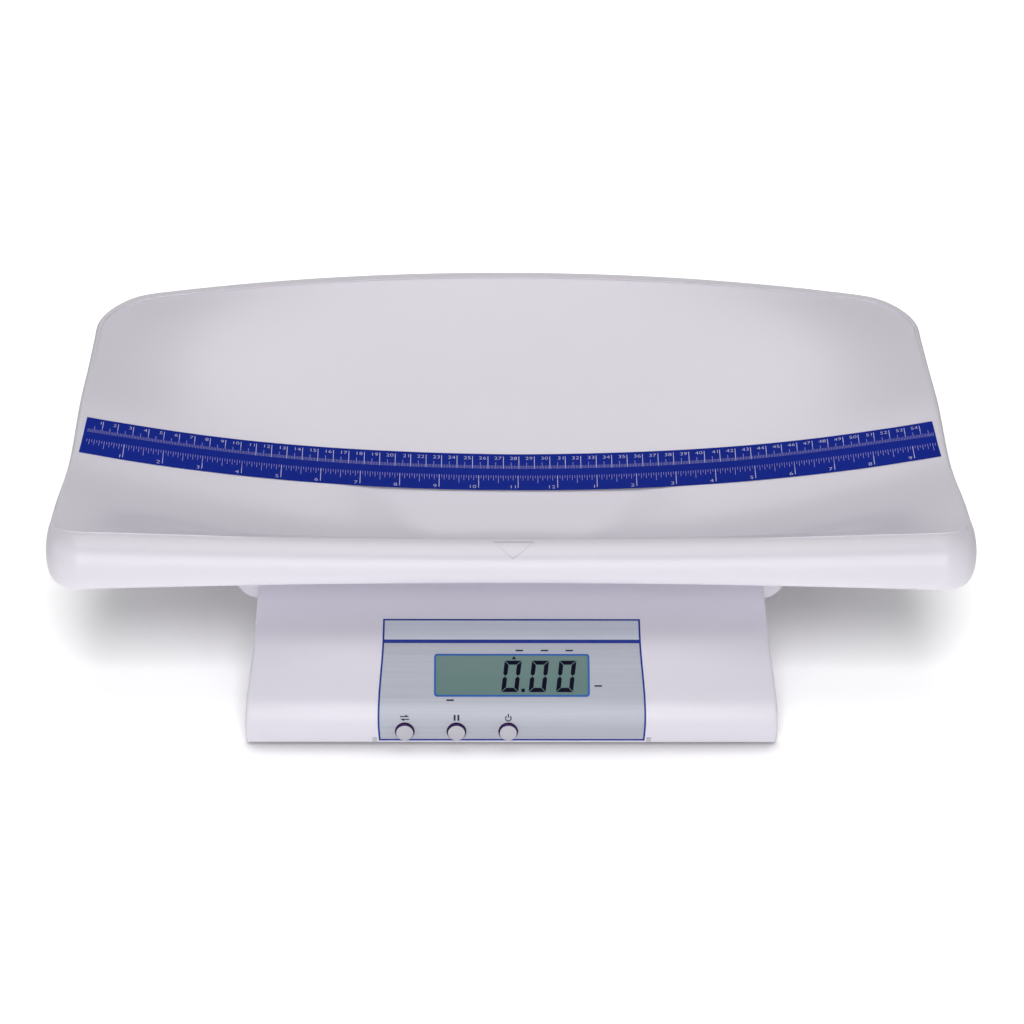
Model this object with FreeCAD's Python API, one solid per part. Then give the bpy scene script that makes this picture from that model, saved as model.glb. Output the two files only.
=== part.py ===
import FreeCAD, Part
import math
import os

V = FreeCAD.Vector
os.makedirs("parts", exist_ok=True)

# Digital baby weighing scale: a long bowl-shaped tray on a sloping-fronted base.
# Millimetres. X runs along the tray, Y from the front to the back, Z up from the floor.
# Places along Y are first given as depths behind the base's front face. save() then moves every
# piece so that the origin is the middle of the whole scale's footprint, on the floor.

# ---------------------------------------------------------------- driving dimensions
# base shell
foot_height = 5.0
shell_wall = 2.5
base_half_wide = 162.0
foot_tuck = 0.4               # how much narrower, each side, the base is along its lower edge
crest_tuck = 4.7              # and along the top of its slope
wide_height = 17.0            # where the base is widest, above its lower edge
toe_height = 7.0              # upright strip along the bottom of the front
toe_radius = 28.0
slope_radius = 190.0
toe_slope = 45.0              # degrees from level, where the toe curve meets the long slope
crest_slope = 20.0            # degrees from level, at the top of the long slope
crest_radius = 5.0
edge_round = 2.0
rear_corner_radius = 12.0

# weighing stack, from the floor up
cover_thickness = 2.5
base_plate_thickness = 3.0
spacer_height = 3.0
cell_length = 130.0
cell_width = 30.0
cell_height = 22.0
bracket_thickness = 3.0
deck_clearance = 5.0          # bracket to the underside of the deck
platform_lift = 3.0           # platform's lower edge above the deck
platform_height = 17.0
platform_half_width = 174.0
platform_wall = 3.0
platform_corner = 20.0
platform_edge_radius = 10.0
platform_front_gap = 3.7      # behind the console
platform_depth = 176.0
platform_rear_gap = 1.0       # from the platform's back to the base's
stack_gap = 5.0               # beside the base plate and bracket
frame_depth = 130.0
post_radius = 6.0
post_inset = 18.0             # from the sides of the bracket
post_end_inset = 15.0         # from its front and back
post_hole_gap = 4.0
stop_radius = 4.0
stop_inset = 8.0
stop_gap = 0.7                # free travel of the platform before it meets its stops
seat_gap = 0.2                # under the lowest part of the bowl

# tray, heights above the floor of the bowl
tray_wall = 3.0
tray_back = 330.0
bowl_depth_line = 113.0       # depth of the bowl's lowest line
front_crest_rise = 48.8
front_end_rise = 53.8
back_crest_rise = 107.2
back_end_rise = 86.8
front_lip_depth = 27.0
tray_half_front = 283.4
tray_half_waist = 276.9
tray_half_back = 278.2
lip_reach = 18.0              # from the crest of the front lip out to its face
lip_height = 24.0
lip_end_drop = 8.6            # how much deeper the lip is near its ends
side_reach = 5.0
back_reach = 13.0
edge_height = 14.0            # side and back rims
front_corner_radius = 14.0
back_corner_radius = 30.0
bowl_curve = 2.05             # power of the rise from the middle to the sides
seat_half_length = 30.0
seat_half_depth = 6.0
tray_boss_radius = 7.0
tray_boss_x = 120.0
tray_boss_clearance = 9.0     # from the platform's cross ribs out to the tray's bosses
tray_boss_height = 8.0        # bore for the tray's screws
rib_thickness = 2.5
rib_stations = (108.0, 130.0, 155.0, 180.0, 210.0, 240.0, 265.0, 288.0)

# measuring tape
tape_half_span = 271.5
tape_width = 27.4
tape_thickness = 0.35
tape_lift = 0.2               # the adhesive under it
tape_depth = 187.2
tape_bow = 33.0
tape_curve = 2.15
tape_steps = 20               # stations from its middle to each end

# front panel
label_thickness = 0.5
label_recess = 0.3
label_low = 0.8
label_high = 81.7
label_half_foot = 81.9
label_half_wide = 82.5
label_half_top = 80.0
window_width = 93.8
window_low = 29.7
window_high = 56.2
window_thickness = 1.7
window_gap = 0.15
button_radius = 5.15
button_gap = 0.9
button_height = 7.4           # above the base's lower edge
button_pitch = 31.5
button_middle_x = -33.7
button_proud = 2.6
button_dome = 24.0
button_neck = 7.0
button_travel = 0.7
clip_size = 2.7

# display module
holder_length = 112.0
holder_width = 42.0
holder_depth = 5.0
glass_length = 104.0
glass_width = 35.0
glass_thickness = 2.8
board_thickness = 1.6
display_board_length = 130.0
display_board_width = 44.0

# batteries
aa_radius = 7.25
aa_length = 50.5
aa_pitch = 15.2
aa_count = 6
battery_wall = 1.5
battery_side_gap = 7.0        # between the compartment and the shell
battery_front = 101.5
door_thickness = 2.0
door_gap = 0.4
hinge_pin_radius = 0.7
hinge_pin_length = 2.0
hinge_pin_gap = 0.15

# main board
board_width = 54.0
board_depth = 80.0

# fasteners
screw_radius = 1.5
screw_head_radius = 2.9
screw_head_height = 2.0
cup_radius = 5.0
cup_height = 5.5
cup_front_inset = 18.0        # front screws, in from the sides
cup_front_depth = 36.0
cup_side_inset = 12.0         # side screws, in from the sides
cup_side_depth = 40.0         # and forward of the back
cup_rear_x = 46.0             # rear screws, out from the middle
cup_rear_inset = 14.0
housing_boss_radius = 4.0
foot_inset = 22.0             # feet, in from the sides, and from the front and back
foot_front = 20.0
foot_back = 25.0
foot_radius = 10.0
foot_stud = 3.0
cover_screw_length = 11.0
tray_screw_length = 9.5
board_screw_length = 6.5
board_screw_head = 2.6
board_lift = 7.0              # main board above the cover
board_hole_inset = 5.0        # its screw holes, in from its edges
standoff_radius = 3.0
bolt_radius = 2.5
bolt_head_radius = 4.5
bolt_head_height = 3.5

# ---------------------------------------------------------------- worked-out levels and places
base_low = foot_height
base_half_foot = base_half_wide - foot_tuck
base_half_crest = base_half_wide - crest_tuck
cover_top = base_low + cover_thickness
plate_top = cover_top + base_plate_thickness
cell_low = plate_top + spacer_height
cell_high = cell_low + cell_height
bracket_low = cell_high + spacer_height
bracket_top = bracket_low + bracket_thickness
deck_under = bracket_top + deck_clearance
deck_top = deck_under + shell_wall
platform_low = deck_top + platform_lift
platform_top = platform_low + platform_height
platform_round = min(platform_edge_radius, platform_height - platform_wall - 1.0)
bowl_floor = platform_top + seat_gap + tray_wall
battery_half_x = aa_length / 2 + 2.8
battery_x = -(base_half_foot - shell_wall - battery_side_gap - battery_wall - battery_half_x)
frame_half_width = -battery_x - battery_half_x - battery_wall - stack_gap
post_half_span_x = frame_half_width - post_inset
post_half_span_y = frame_depth / 2 - post_end_inset

toe_turn = math.radians(90.0 - toe_slope)
toe_length = toe_radius * toe_turn
slope_turn = math.radians(toe_slope - crest_slope)
slope_length = slope_radius * slope_turn
toe_centre = V(0, toe_radius, base_low + toe_height)
slope_centre = toe_centre + V(0, math.cos(toe_turn), -math.sin(toe_turn)) * (slope_radius - toe_radius)
crest_normal = V(0, -math.sin(math.radians(crest_slope)), math.cos(math.radians(crest_slope)))
crest_centre = slope_centre + crest_normal * (slope_radius - crest_radius)
console_back = crest_centre.y + crest_radius
crest_height = slope_centre.z + slope_radius * crest_normal.z
platform_front = console_back + platform_front_gap
platform_back = platform_front + platform_depth
base_depth = platform_back + platform_rear_gap
stack_middle = (platform_front + platform_back) / 2
frame_front = stack_middle - frame_depth / 2
frame_back = stack_middle + frame_depth / 2
tray_boss_front = stack_middle - post_half_span_y - tray_boss_clearance
tray_boss_back = stack_middle + post_half_span_y + tray_boss_clearance
front_crest = front_lip_depth + lip_reach
back_crest = tray_back - back_reach
footprint_middle = (tray_back - button_proud) / 2


# ---------------------------------------------------------------- shared shapes
def save(name, solids):
    """Write one node, moved to the middle of the footprint."""
    shape = solids[0] if len(solids) == 1 else Part.makeCompound(solids)
    shape = shape.copy()
    shape.translate(V(0, -footprint_middle, 0))
    shape.exportStep("parts/" + name + ".step")


def block(x0, x1, y0, y1, z0, z1):
    return Part.makeBox(x1 - x0, y1 - y0, z1 - z0, V(x0, y0, z0))


def rod(radius, x, y, z0, z1):
    return Part.makeCylinder(radius, z1 - z0, V(x, y, z0))


def rounded_block(x0, x1, y0, y1, z0, z1, radius):
    """A block whose four upright edges are rounded."""
    solid = block(x0, x1, y0, y1, z0, z1)
    upright = [edge for edge in solid.Edges if abs(edge.tangentAt(0).z) > 0.99]
    return solid.makeFillet(radius, upright)


def mirrored(shape):
    return shape.mirror(V(0, 0, 0), V(1, 0, 0))


def turned(points):
    """Solid of revolution about the Z axis through the origin, from (radius, height) corners."""
    wire = Part.makePolygon([V(r, 0, z) for r, z in points] + [V(points[0][0], 0, points[0][1])])
    return Part.Face(wire).revolve(V(0, 0, 0), V(0, 0, 1), 360)


def screw(radius, head_radius, head_height, length):
    """A pan-head screw with its head's underside at the origin and its shank pointing up."""
    rim = head_height * 0.4
    return turned([(0, -head_height), (head_radius - rim, -head_height), (head_radius, -head_height + rim),
                   (head_radius, 0), (radius, 0), (radius, length - radius), (0, length)])


def placed(shape, x, y, z):
    moved = shape.copy()
    moved.translate(V(x, y, z))
    return moved


# ---------------------------------------------------------------- base shell
def front_point(along, inset):
    """Point on the front's side profile, a way along it from its lower edge, and inset from it."""
    if along <= toe_height:
        return V(0, inset, base_low + along)
    along -= toe_height
    if along <= toe_length:
        angle = along / toe_radius
        return toe_centre + V(0, -math.cos(angle), math.sin(angle)) * (toe_radius - inset)
    angle = toe_turn + (along - toe_length) / slope_radius
    return slope_centre + V(0, -math.cos(angle), math.sin(angle)) * (slope_radius - inset)


def front_edges(start, end, inset):
    """Line and arcs of the front's side profile between two places along it."""
    stops = [start] + [stop for stop in (toe_height, toe_height + toe_length) if start < stop < end] + [end]
    edges = []
    for low, high in zip(stops, stops[1:]):
        a, middle, b = (front_point(low + (high - low) * share, inset) for share in (1e-9, 0.5, 1))
        straight = high <= toe_height
        edges.append(Part.makeLine(a, b) if straight else Part.Arc(a, middle, b).toShape())
    return edges


def shell_block(inset):
    """The base's outer form, or with an inset the space inside its wall."""
    low = base_low - (inset > 0)
    slope_end = toe_height + toe_length + slope_length
    radius = max(crest_radius - inset, 0.5)
    top = front_point(slope_end, inset)
    centre = top - crest_normal * radius
    side = V(0, centre.y + radius, centre.z)
    halfway = math.radians((90.0 + crest_slope) / 2)
    crest = centre + V(0, math.cos(halfway), math.sin(halfway)) * radius
    deck = deck_top - inset
    rear = base_depth - inset
    first = front_point(0, inset)
    edges = [Part.makeLine(V(0, inset, low), first)] if inset > 0 else []
    edges += front_edges(0, slope_end, inset)
    edges.append(Part.Arc(top, crest, side).toShape())
    corners = [side, V(0, side.y, deck), V(0, rear, deck), V(0, rear, low), V(0, inset, low)]
    edges += [Part.makeLine(a, b) for a, b in zip(corners, corners[1:])]
    profile = Part.Face(Part.Wire(edges))
    profile.translate(V(-base_half_wide - 10, 0, 0))
    solid = profile.extrude(V(2 * base_half_wide + 20, 0, 0))
    solid = solid.common(front_view(inset))
    upright = [edge for edge in solid.Edges
               if edge.BoundBox.YMin > rear - 1 and edge.BoundBox.ZLength > 0.5]
    return solid.makeFillet(rear_corner_radius - inset, upright)


def side_points():
    """Half-widths of the base and their heights, from the lower edge to the crest."""
    middle = (base_half_wide * 0.25 + base_half_crest * 0.75)
    return [(base_half_foot, base_low), (base_half_wide, base_low + wide_height),
            (middle, base_low + wide_height + (crest_height - base_low - wide_height) * 0.55),
            (base_half_crest, crest_height)]


def upright_prism(half_widths):
    """A prism along Y whose sides follow half-widths and heights given from the bottom up."""
    right = Part.BSplineCurve()
    right.interpolate([V(half, 0, z) for half, z in half_widths])
    left = Part.BSplineCurve()
    left.interpolate([V(-half, 0, z) for half, z in reversed(half_widths)])
    (low, z_low), (high, z_high) = half_widths[0], half_widths[-1]
    over, under = V(0, 0, 30), V(0, 0, -30)
    top = [V(high, 0, z_high), V(high, 0, z_high) + over, V(-high, 0, z_high) + over, V(-high, 0, z_high)]
    bottom = [V(-low, 0, z_low), V(-low, 0, z_low) + under, V(low, 0, z_low) + under, V(low, 0, z_low)]
    edges = [right.toShape()] + [Part.makeLine(a, b) for a, b in zip(top, top[1:])]
    edges += [left.toShape()] + [Part.makeLine(a, b) for a, b in zip(bottom, bottom[1:])]
    profile = Part.Face(Part.Wire(edges))
    profile.translate(V(0, -30, 0))
    return profile.extrude(V(0, base_depth + 60, 0))


def front_view(inset):
    return upright_prism([(half - inset, z) for half, z in side_points()])


def front_band(outer, inner, start, end, half_width):
    """A curved plate that follows the front face between two insets and two places along it."""
    edges = front_edges(start, end, outer)
    back = front_edges(start, end, inner)
    edges.append(Part.makeLine(front_point(end, outer), front_point(end, inner)))
    edges.append(Part.makeLine(front_point(start, outer), front_point(start, inner)))
    profile = Part.Face(Part.Wire(Part.__sortEdges__(edges + back)))
    profile.translate(V(-half_width, 0, 0))
    return profile.extrude(V(2 * half_width, 0, 0))


def label_outline():
    """Prism along Y that gives the label its slightly spreading sides."""
    low = front_point(label_low, 0).z
    high = front_point(label_high, 0).z
    wide = front_point(window_low - 5, 0).z
    return upright_prism([(label_half_foot, low), (label_half_wide, (low + wide) / 2),
                          (label_half_wide, wide), (label_half_top, high - 8), (label_half_top, high)])


button_z = base_low + button_height
button_places = {"unit_button": button_middle_x - button_pitch, "hold_button": button_middle_x,
                 "power_button": button_middle_x + button_pitch}
window_middle = (window_low + window_high) / 2


def button_bores(gap, y0, y1):
    return [Part.makeCylinder(button_radius + gap, y1 - y0, V(x, y0, button_z), V(0, 1, 0))
            for x in button_places.values()]


def window_cut(grow, depth):
    return front_band(-3, depth, window_low - grow, window_high + grow, window_width / 2 + grow)


label_prism = label_outline()
label_bed = front_band(-3, label_recess, label_low - 0.1, label_high + 0.1, base_half_wide).common(label_prism)
label = front_band(label_recess - label_thickness, label_recess, label_low, label_high, base_half_wide)
label = label.common(label_prism)
label = label.cut(window_cut(window_gap, 3))
label = label.cut(Part.makeCompound(button_bores(button_gap, -5, 10)))
save("fascia_label", [label])

window = front_band(label_recess - label_thickness, window_thickness, window_low, window_high,
                    window_width / 2)
save("display_window", [window])

# Screw places that hold the bottom cover: two at the front, two half way and two at the rear.
cover_screws = [(side * x, y) for side in (-1, 1) for x, y in
                ((base_half_wide - cup_front_inset, cup_front_depth),
                 (base_half_wide - cup_side_inset, base_depth - cup_side_depth),
                 (cup_rear_x, base_depth - cup_rear_inset))]
cup_top = base_low + cup_height
inside = shell_block(shell_wall)
shell = shell_block(0)
side_edges = [edge for edge in shell.Edges
              if abs(edge.BoundBox.XMin) > base_half_crest - 1 and edge.BoundBox.XLength < base_half_crest
              and edge.BoundBox.YMax < console_back + 0.1 and edge.BoundBox.YMin > -0.1
              and not (edge.BoundBox.ZMax < base_low + 0.1)
              and not (edge.BoundBox.YMin > console_back - 0.1)]
shell = shell.makeFillet(edge_round, side_edges)
bosses = [rod(housing_boss_radius, x, y, cup_top, crest_height) for x, y in cover_screws]
bosses = [boss.common(shell_block(shell_wall * 0.4)) for boss in bosses]
shell = shell.cut(inside)
shell = shell.fuse(bosses)
shell = shell.cut(Part.makeCompound([rod(screw_radius, x, y, cup_top - 1, cup_top + cover_screw_length + 1)
                                     for x, y in cover_screws]))
shell = shell.cut(label_bed)
shell = shell.cut(window_cut(window_gap, shell_wall + 3))
shell = shell.cut(Part.makeCompound(button_bores(button_gap, -5, shell_wall + 3)))
post_places = [(x, stack_middle + y) for x in (-post_half_span_x, post_half_span_x)
               for y in (-post_half_span_y, post_half_span_y)]
shell = shell.cut(Part.makeCompound([rod(post_radius + post_hole_gap, x, y, deck_under - 1, deck_top + 1)
                                     for x, y in post_places]))
jack_x = 112.0
jack_z = base_low + 15.0
jack_radius = 4.0
jack_length = 13.0
shell = shell.cut(Part.makeCylinder(jack_radius + 0.1, 20, V(jack_x, base_depth - 10, jack_z), V(0, 1, 0)))
save("top_housing", [shell])

# Two small plugs beside the label's lower corners.
clips = [block(side * (label_half_foot + 0.3 + clip_size / 2) - clip_size / 2,
               side * (label_half_foot + 0.3 + clip_size / 2) + clip_size / 2,
               -0.6, 0, base_low + 0.4, base_low + 0.4 + clip_size) for side in (-1, 1)]
save("fascia_clips", clips)

# ---------------------------------------------------------------- bottom cover and feet
cover_gap = 0.3
cover_half = base_half_foot - shell_wall - cover_gap - 0.4
cover = rounded_block(-cover_half, cover_half, shell_wall + cover_gap, base_depth - shell_wall - cover_gap,
                      base_low, cover_top, rear_corner_radius - shell_wall)
cover = cover.fuse([rod(cup_radius, x, y, base_low, cup_top - 0.05) for x, y in cover_screws])

battery_back = battery_front + aa_pitch * (aa_count - 1) + 2 * aa_radius + 2.0
opening_x0 = battery_x - battery_half_x
opening_x1 = battery_x + battery_half_x
hinge_x = opening_x1 - door_gap - door_thickness / 2
hinge_z = base_low + door_thickness / 2
rib_height = button_z + 6.0
button_board_front = 14.1
ribs = [block(x - 1.5, x + 1.5, button_board_front + board_thickness, button_board_front + board_thickness + 3,
              base_low, rib_height)
        for x in (button_middle_x - button_pitch - 9, button_middle_x + button_pitch + 9)]
cover = cover.fuse(ribs)
cover = cover.cut(block(opening_x0, opening_x1, battery_front, battery_back, base_low - 1, cover_top + 1))
bore_length = battery_back - battery_front + 2 * (hinge_pin_length + hinge_pin_gap)
cover = cover.cut(Part.makeCylinder(hinge_pin_radius + hinge_pin_gap, bore_length,
                                    V(hinge_x, battery_front - hinge_pin_length - hinge_pin_gap, hinge_z),
                                    V(0, 1, 0)))
for x, y in cover_screws:
    cover = cover.cut(rod(screw_head_radius + 0.3, x, y, base_low - 1, base_low + 3))
    cover = cover.cut(rod(screw_radius + 0.2, x, y, base_low, cup_top + 1))
foot_places = [(side * (base_half_wide - foot_inset), y) for side in (-1, 1)
               for y in (foot_front, base_depth - foot_back)]
for x, y in foot_places:
    cover = cover.cut(rod(foot_stud, x, y, base_low - 1, cover_top + 1))
plate_screw_places = [(x, stack_middle + y) for x in (-frame_half_width + 8, frame_half_width - 8)
                      for y in (-30.0, 30.0)]
plate_bolt = 2.0
for x, y in plate_screw_places:
    cover = cover.cut(rod(plate_bolt, x, y, base_low - 1, cover_top + 1))
save("bottom_cover", [cover])

cover_screw = screw(screw_radius, screw_head_radius, screw_head_height, cover_screw_length)
save("cover_screws", [placed(cover_screw, x, y, base_low + 3) for x, y in cover_screws])

foot = turned([(0, 0.8), (foot_radius * 0.55, 0.8), (foot_radius * 0.65, 0), (foot_radius - 0.8, 0),
               (foot_radius, 0.8), (foot_radius * 0.94, foot_height), (foot_stud, foot_height),
               (foot_stud, cover_top), (foot_stud + 0.8, cover_top), (foot_stud - 0.8, cover_top + 2),
               (0, cover_top + 2)])
save("rubber_feet", [placed(foot, x, y, 0) for x, y in foot_places])

# ---------------------------------------------------------------- weighing stack
base_plate = rounded_block(-frame_half_width, frame_half_width, frame_front, frame_back,
                           cover_top, plate_top, 8)
cell_bolt_radius = 3.0
cell_bolt_offsets = (cell_length / 2 - 8, cell_length / 2 - 23)
stop_places = [(x, y) for x in (-frame_half_width + stop_inset, frame_half_width - stop_inset)
               for y in (frame_front + stop_inset, frame_back - stop_inset)]
for offset in cell_bolt_offsets:
    base_plate = base_plate.cut(rod(cell_bolt_radius, -offset, stack_middle, cover_top - 1, plate_top + 1))
    base_plate = base_plate.cut(Part.makeCone(5.0, cell_bolt_radius, 2.0, V(-offset, stack_middle, cover_top)))
for x, y in plate_screw_places:
    base_plate = base_plate.cut(rod(plate_bolt, x, y, cover_top - 1, plate_top + 1))
save("base_plate", [base_plate])
plate_screw = screw(plate_bolt, 3.5, 1.8, plate_top - base_low - 0.3)
save("plate_screws", [placed(plate_screw, x, y, base_low) for x, y in plate_screw_places])

spacer_length = 31.0
for name, side, low in (("cell_base_spacer", -1, plate_top), ("cell_platform_spacer", 1, cell_high)):
    outer = side * cell_length / 2
    inner = outer - side * spacer_length
    spacer = block(min(outer, inner), max(outer, inner), stack_middle - cell_width / 2,
                   stack_middle + cell_width / 2, low, low + spacer_height)
    for offset in cell_bolt_offsets:
        spacer = spacer.cut(rod(cell_bolt_radius, side * offset, stack_middle, low - 1, low + spacer_height + 1))
    save(name, [spacer])

# The beam is thinned by two joined bores, and bends there when the tray is loaded.
cell = block(-cell_length / 2, cell_length / 2, stack_middle - cell_width / 2, stack_middle + cell_width / 2,
             cell_low, cell_high)
bore_radius = cell_height * 0.38
bore_half_pitch = 13.0
cell_middle = (cell_low + cell_high) / 2
for x in (-bore_half_pitch, bore_half_pitch):
    cell = cell.cut(Part.makeCylinder(bore_radius, cell_width + 2,
                                      V(x, stack_middle - cell_width / 2 - 1, cell_middle), V(0, 1, 0)))
cell = cell.cut(block(-bore_half_pitch, bore_half_pitch, stack_middle - cell_width / 2 - 1,
                      stack_middle + cell_width / 2 + 1, cell_middle - 2, cell_middle + 2))
cell_bolt_depth = 11.0
for offset in cell_bolt_offsets:
    cell = cell.cut(rod(cell_bolt_radius, -offset, stack_middle, cell_low - 1, cell_low + cell_bolt_depth))
    cell = cell.cut(rod(cell_bolt_radius, offset, stack_middle, cell_high - cell_bolt_depth, cell_high + 1))
save("load_cell", [cell])

# Countersunk bolts: two from below at the fixed end, two from above at the loaded end.
cell_bolt_length = base_plate_thickness + spacer_height + cell_bolt_depth - 1
cell_bolt = turned([(0, 0), (5.0, 0), (cell_bolt_radius, 2.0), (cell_bolt_radius, cell_bolt_length),
                    (0, cell_bolt_length)])
lower_bolts = [placed(cell_bolt, -offset, stack_middle, cover_top) for offset in cell_bolt_offsets]
upper_bolts = [placed(cell_bolt, offset, -stack_middle, -bracket_top) for offset in cell_bolt_offsets]
for bolt in upper_bolts:
    bolt.rotate(V(0, 0, 0), V(1, 0, 0), 180)
save("cell_base_bolts", lower_bolts)
save("cell_platform_bolts", upper_bolts)

bracket = rounded_block(-frame_half_width, frame_half_width, frame_front, frame_back,
                        bracket_low, bracket_top, 8)
for offset in cell_bolt_offsets:
    bracket = bracket.cut(rod(cell_bolt_radius, offset, stack_middle, bracket_low - 1, bracket_top + 1))
    bracket = bracket.cut(Part.makeCone(cell_bolt_radius, 5.0, 2.0, V(offset, stack_middle, bracket_top - 2)))
for x, y in post_places:
    bracket = bracket.cut(rod(bolt_radius, x, y, bracket_low - 1, bracket_top + 1))
for y in (-1, 1):
    bracket = bracket.cut(rod(17, 0, stack_middle + y * 42, bracket_low - 1, bracket_top + 1))
save("platform_bracket", [bracket])

boss_low = platform_low + 1.0
posts = [rod(post_radius, x, y, bracket_top, boss_low).cut(rod(bolt_radius, x, y, bracket_top, boss_low))
         for x, y in post_places]
save("platform_posts", posts)
post_bolt = screw(bolt_radius, bolt_head_radius, bolt_head_height, boss_low - bracket_low + 8)
save("post_bolts", [placed(post_bolt, x, y, bracket_low) for x, y in post_places])

stop_height = bracket_low - stop_gap - plate_top
stop = turned([(0, 0), (stop_radius, 0), (stop_radius, stop_height - 1), (stop_radius - 1, stop_height),
               (0, stop_height)])
save("overload_stops", [placed(stop, x, y, plate_top) for x, y in stop_places])

# ---------------------------------------------------------------- platform under the tray
def platform_block(inset):
    """The platform's outer form, or with an inset its hollow: rounded corners and rounded lower edges."""
    solid = rounded_block(-platform_half_width + inset, platform_half_width - inset, platform_front + inset,
                          platform_back - inset, platform_low + inset, platform_top - inset,
                          platform_corner - inset)
    lower = [edge for edge in solid.Edges if edge.BoundBox.ZMax < platform_low + inset + 0.1]
    return solid.makeFillet(platform_round - inset, lower)


platform = platform_block(0)
mouth_inset = platform_round + 2.0
mouth_half = platform_half_width - mouth_inset
mouth = rounded_block(-mouth_half, mouth_half, platform_front + mouth_inset, platform_back - mouth_inset,
                      platform_low - 1, platform_low + platform_wall + 1, platform_corner - platform_round)
platform = platform.cut(platform_block(platform_wall)).cut(mouth)
rib_low = boss_low + 2.0
roof = platform_top - platform_wall
rib_reach = platform_half_width - platform_wall + 0.5
cross_ribs = [block(-rib_reach, rib_reach, stack_middle + y - 1, stack_middle + y + 1, rib_low, roof + 0.5)
              for y in (-post_half_span_y, post_half_span_y)]
long_ribs = [block(x - 1, x + 1, platform_front + platform_wall - 0.5, platform_back - platform_wall + 0.5,
                   rib_low, roof + 0.5) for x in (-post_half_span_x, post_half_span_x)]
post_bosses = [rod(post_radius + 1.5, x, y, boss_low, roof + 0.5) for x, y in post_places]
tray_boss_places = [(side * tray_boss_x, y) for side in (-1, 1) for y in (tray_boss_front, tray_boss_back)]
platform = platform.fuse(cross_ribs + long_ribs + post_bosses)
for x, y in post_places:
    platform = platform.cut(rod(bolt_radius, x, y, boss_low - 1, boss_low + 9))
tray_bolt = 2.0
for x, y in tray_boss_places:
    platform = platform.cut(rod(tray_bolt + 0.2, x, y, roof - 1, platform_top + 1))
save("tray_support", [platform])

# ---------------------------------------------------------------- tray
def smooth(stations, at):
    """Value on a smooth curve through stations of (place, value, slope)."""
    if at <= stations[0][0]:
        return stations[0][1] + stations[0][2] * (at - stations[0][0])
    for (a, low, slope_a), (b, high, slope_b) in zip(stations, stations[1:]):
        if at <= b:
            h = b - a
            u = (at - a) / h
            return ((2 * u**3 - 3 * u**2 + 1) * low + (u**3 - 2 * u**2 + u) * h * slope_a
                    + (3 * u**2 - 2 * u**3) * high + (u**3 - u**2) * h * slope_b)
    return stations[-1][1] + stations[-1][2] * (at - stations[-1][0])


# Rise of the bowl along its middle, from the front crest through the seat to the back crest.
seat_run = bowl_depth_line - front_crest
back_run = back_crest - bowl_depth_line
middle_line = [(front_crest, front_crest_rise, -0.4),
               (front_crest + seat_run * 0.265, front_crest_rise * 0.775, -0.95),
               (front_crest + seat_run * 0.574, front_crest_rise * 0.324, -1.1),
               (front_crest + seat_run * 0.809, front_crest_rise * 0.057, -0.45),
               (bowl_depth_line, 0.0, 0.0),
               (bowl_depth_line + back_run * 0.181, back_crest_rise * 0.059, 0.34),
               (bowl_depth_line + back_run * 0.363, back_crest_rise * 0.217, 0.58),
               (bowl_depth_line + back_run * 0.672, back_crest_rise * 0.595, 0.68),
               (bowl_depth_line + back_run * 0.917, back_crest_rise * 0.903, 0.6),
               (back_crest, back_crest_rise, 0.55)]
# Rise of the side rims, which step up beside the measuring tape.
side_run = back_crest - front_crest
side_climb = back_end_rise - front_end_rise
side_line = [(front_crest, front_end_rise, -0.15),
             (front_crest + side_run * 0.204, front_end_rise + side_climb * 0.045, 0.04),
             (front_crest + side_run * 0.331, front_end_rise + side_climb * 0.145, 0.28),
             (front_crest + side_run * 0.415, front_end_rise + side_climb * 0.412, 0.5),
             (front_crest + side_run * 0.504, front_end_rise + side_climb * 0.69, 0.26),
             (front_crest + side_run * 0.68, front_end_rise + side_climb * 0.86, 0.08),
             (back_crest, back_end_rise, 0.05)]
# Half-width over the rims, which narrows behind the front corners.
narrowing = tray_half_front - tray_half_waist
width_line = [(front_lip_depth, tray_half_front, 0.0),
              (front_crest + side_run * 0.056, tray_half_front - narrowing * 0.03, -0.02),
              (front_crest + side_run * 0.239, tray_half_front - narrowing * 0.34, -0.06),
              (front_crest + side_run * 0.458, tray_half_front - narrowing * 0.88, -0.03),
              (front_crest + side_run * 0.68, tray_half_waist, 0.0),
              (tray_back, tray_half_back, 0.01)]


def crest_half(depth):
    return smooth(width_line, depth) - side_reach


def bowl_height(x, depth):
    """Height of the bowl's upper surface."""
    middle = smooth(middle_line, depth)
    side = smooth(side_line, depth)
    return bowl_floor + middle + (side - middle) * (abs(x) / crest_half(depth))**bowl_curve


# The rim's crest in plan: (x, depth, outward angle in degrees), front middle to back middle.
front_corner = front_crest + front_corner_radius
back_corner = back_crest - back_corner_radius
front_straight = crest_half(front_corner) - front_corner_radius
back_straight = crest_half(back_corner) - back_corner_radius
crest_places = [(front_straight * share, front_crest, -90.0)
                for share in (0, 0.2, 0.4, 0.58, 0.74, 0.86, 0.94, 0.98)]
for turn in (-90, -67.5, -45, -22.5, 0):
    crest_places.append((front_straight + front_corner_radius * math.cos(math.radians(turn)),
                         front_corner + front_corner_radius * math.sin(math.radians(turn)), turn))
for share in (0.03, 0.08, 0.16, 0.26, 0.36, 0.46, 0.56, 0.66, 0.76, 0.86, 0.94):
    depth = front_corner + (back_corner - front_corner) * share
    crest_places.append((crest_half(depth), depth, 0.0))
for turn in (0, 18, 36, 54, 72, 90):
    crest_places.append((back_straight + back_corner_radius * math.cos(math.radians(turn)),
                         back_corner + back_corner_radius * math.sin(math.radians(turn)), turn))
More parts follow.
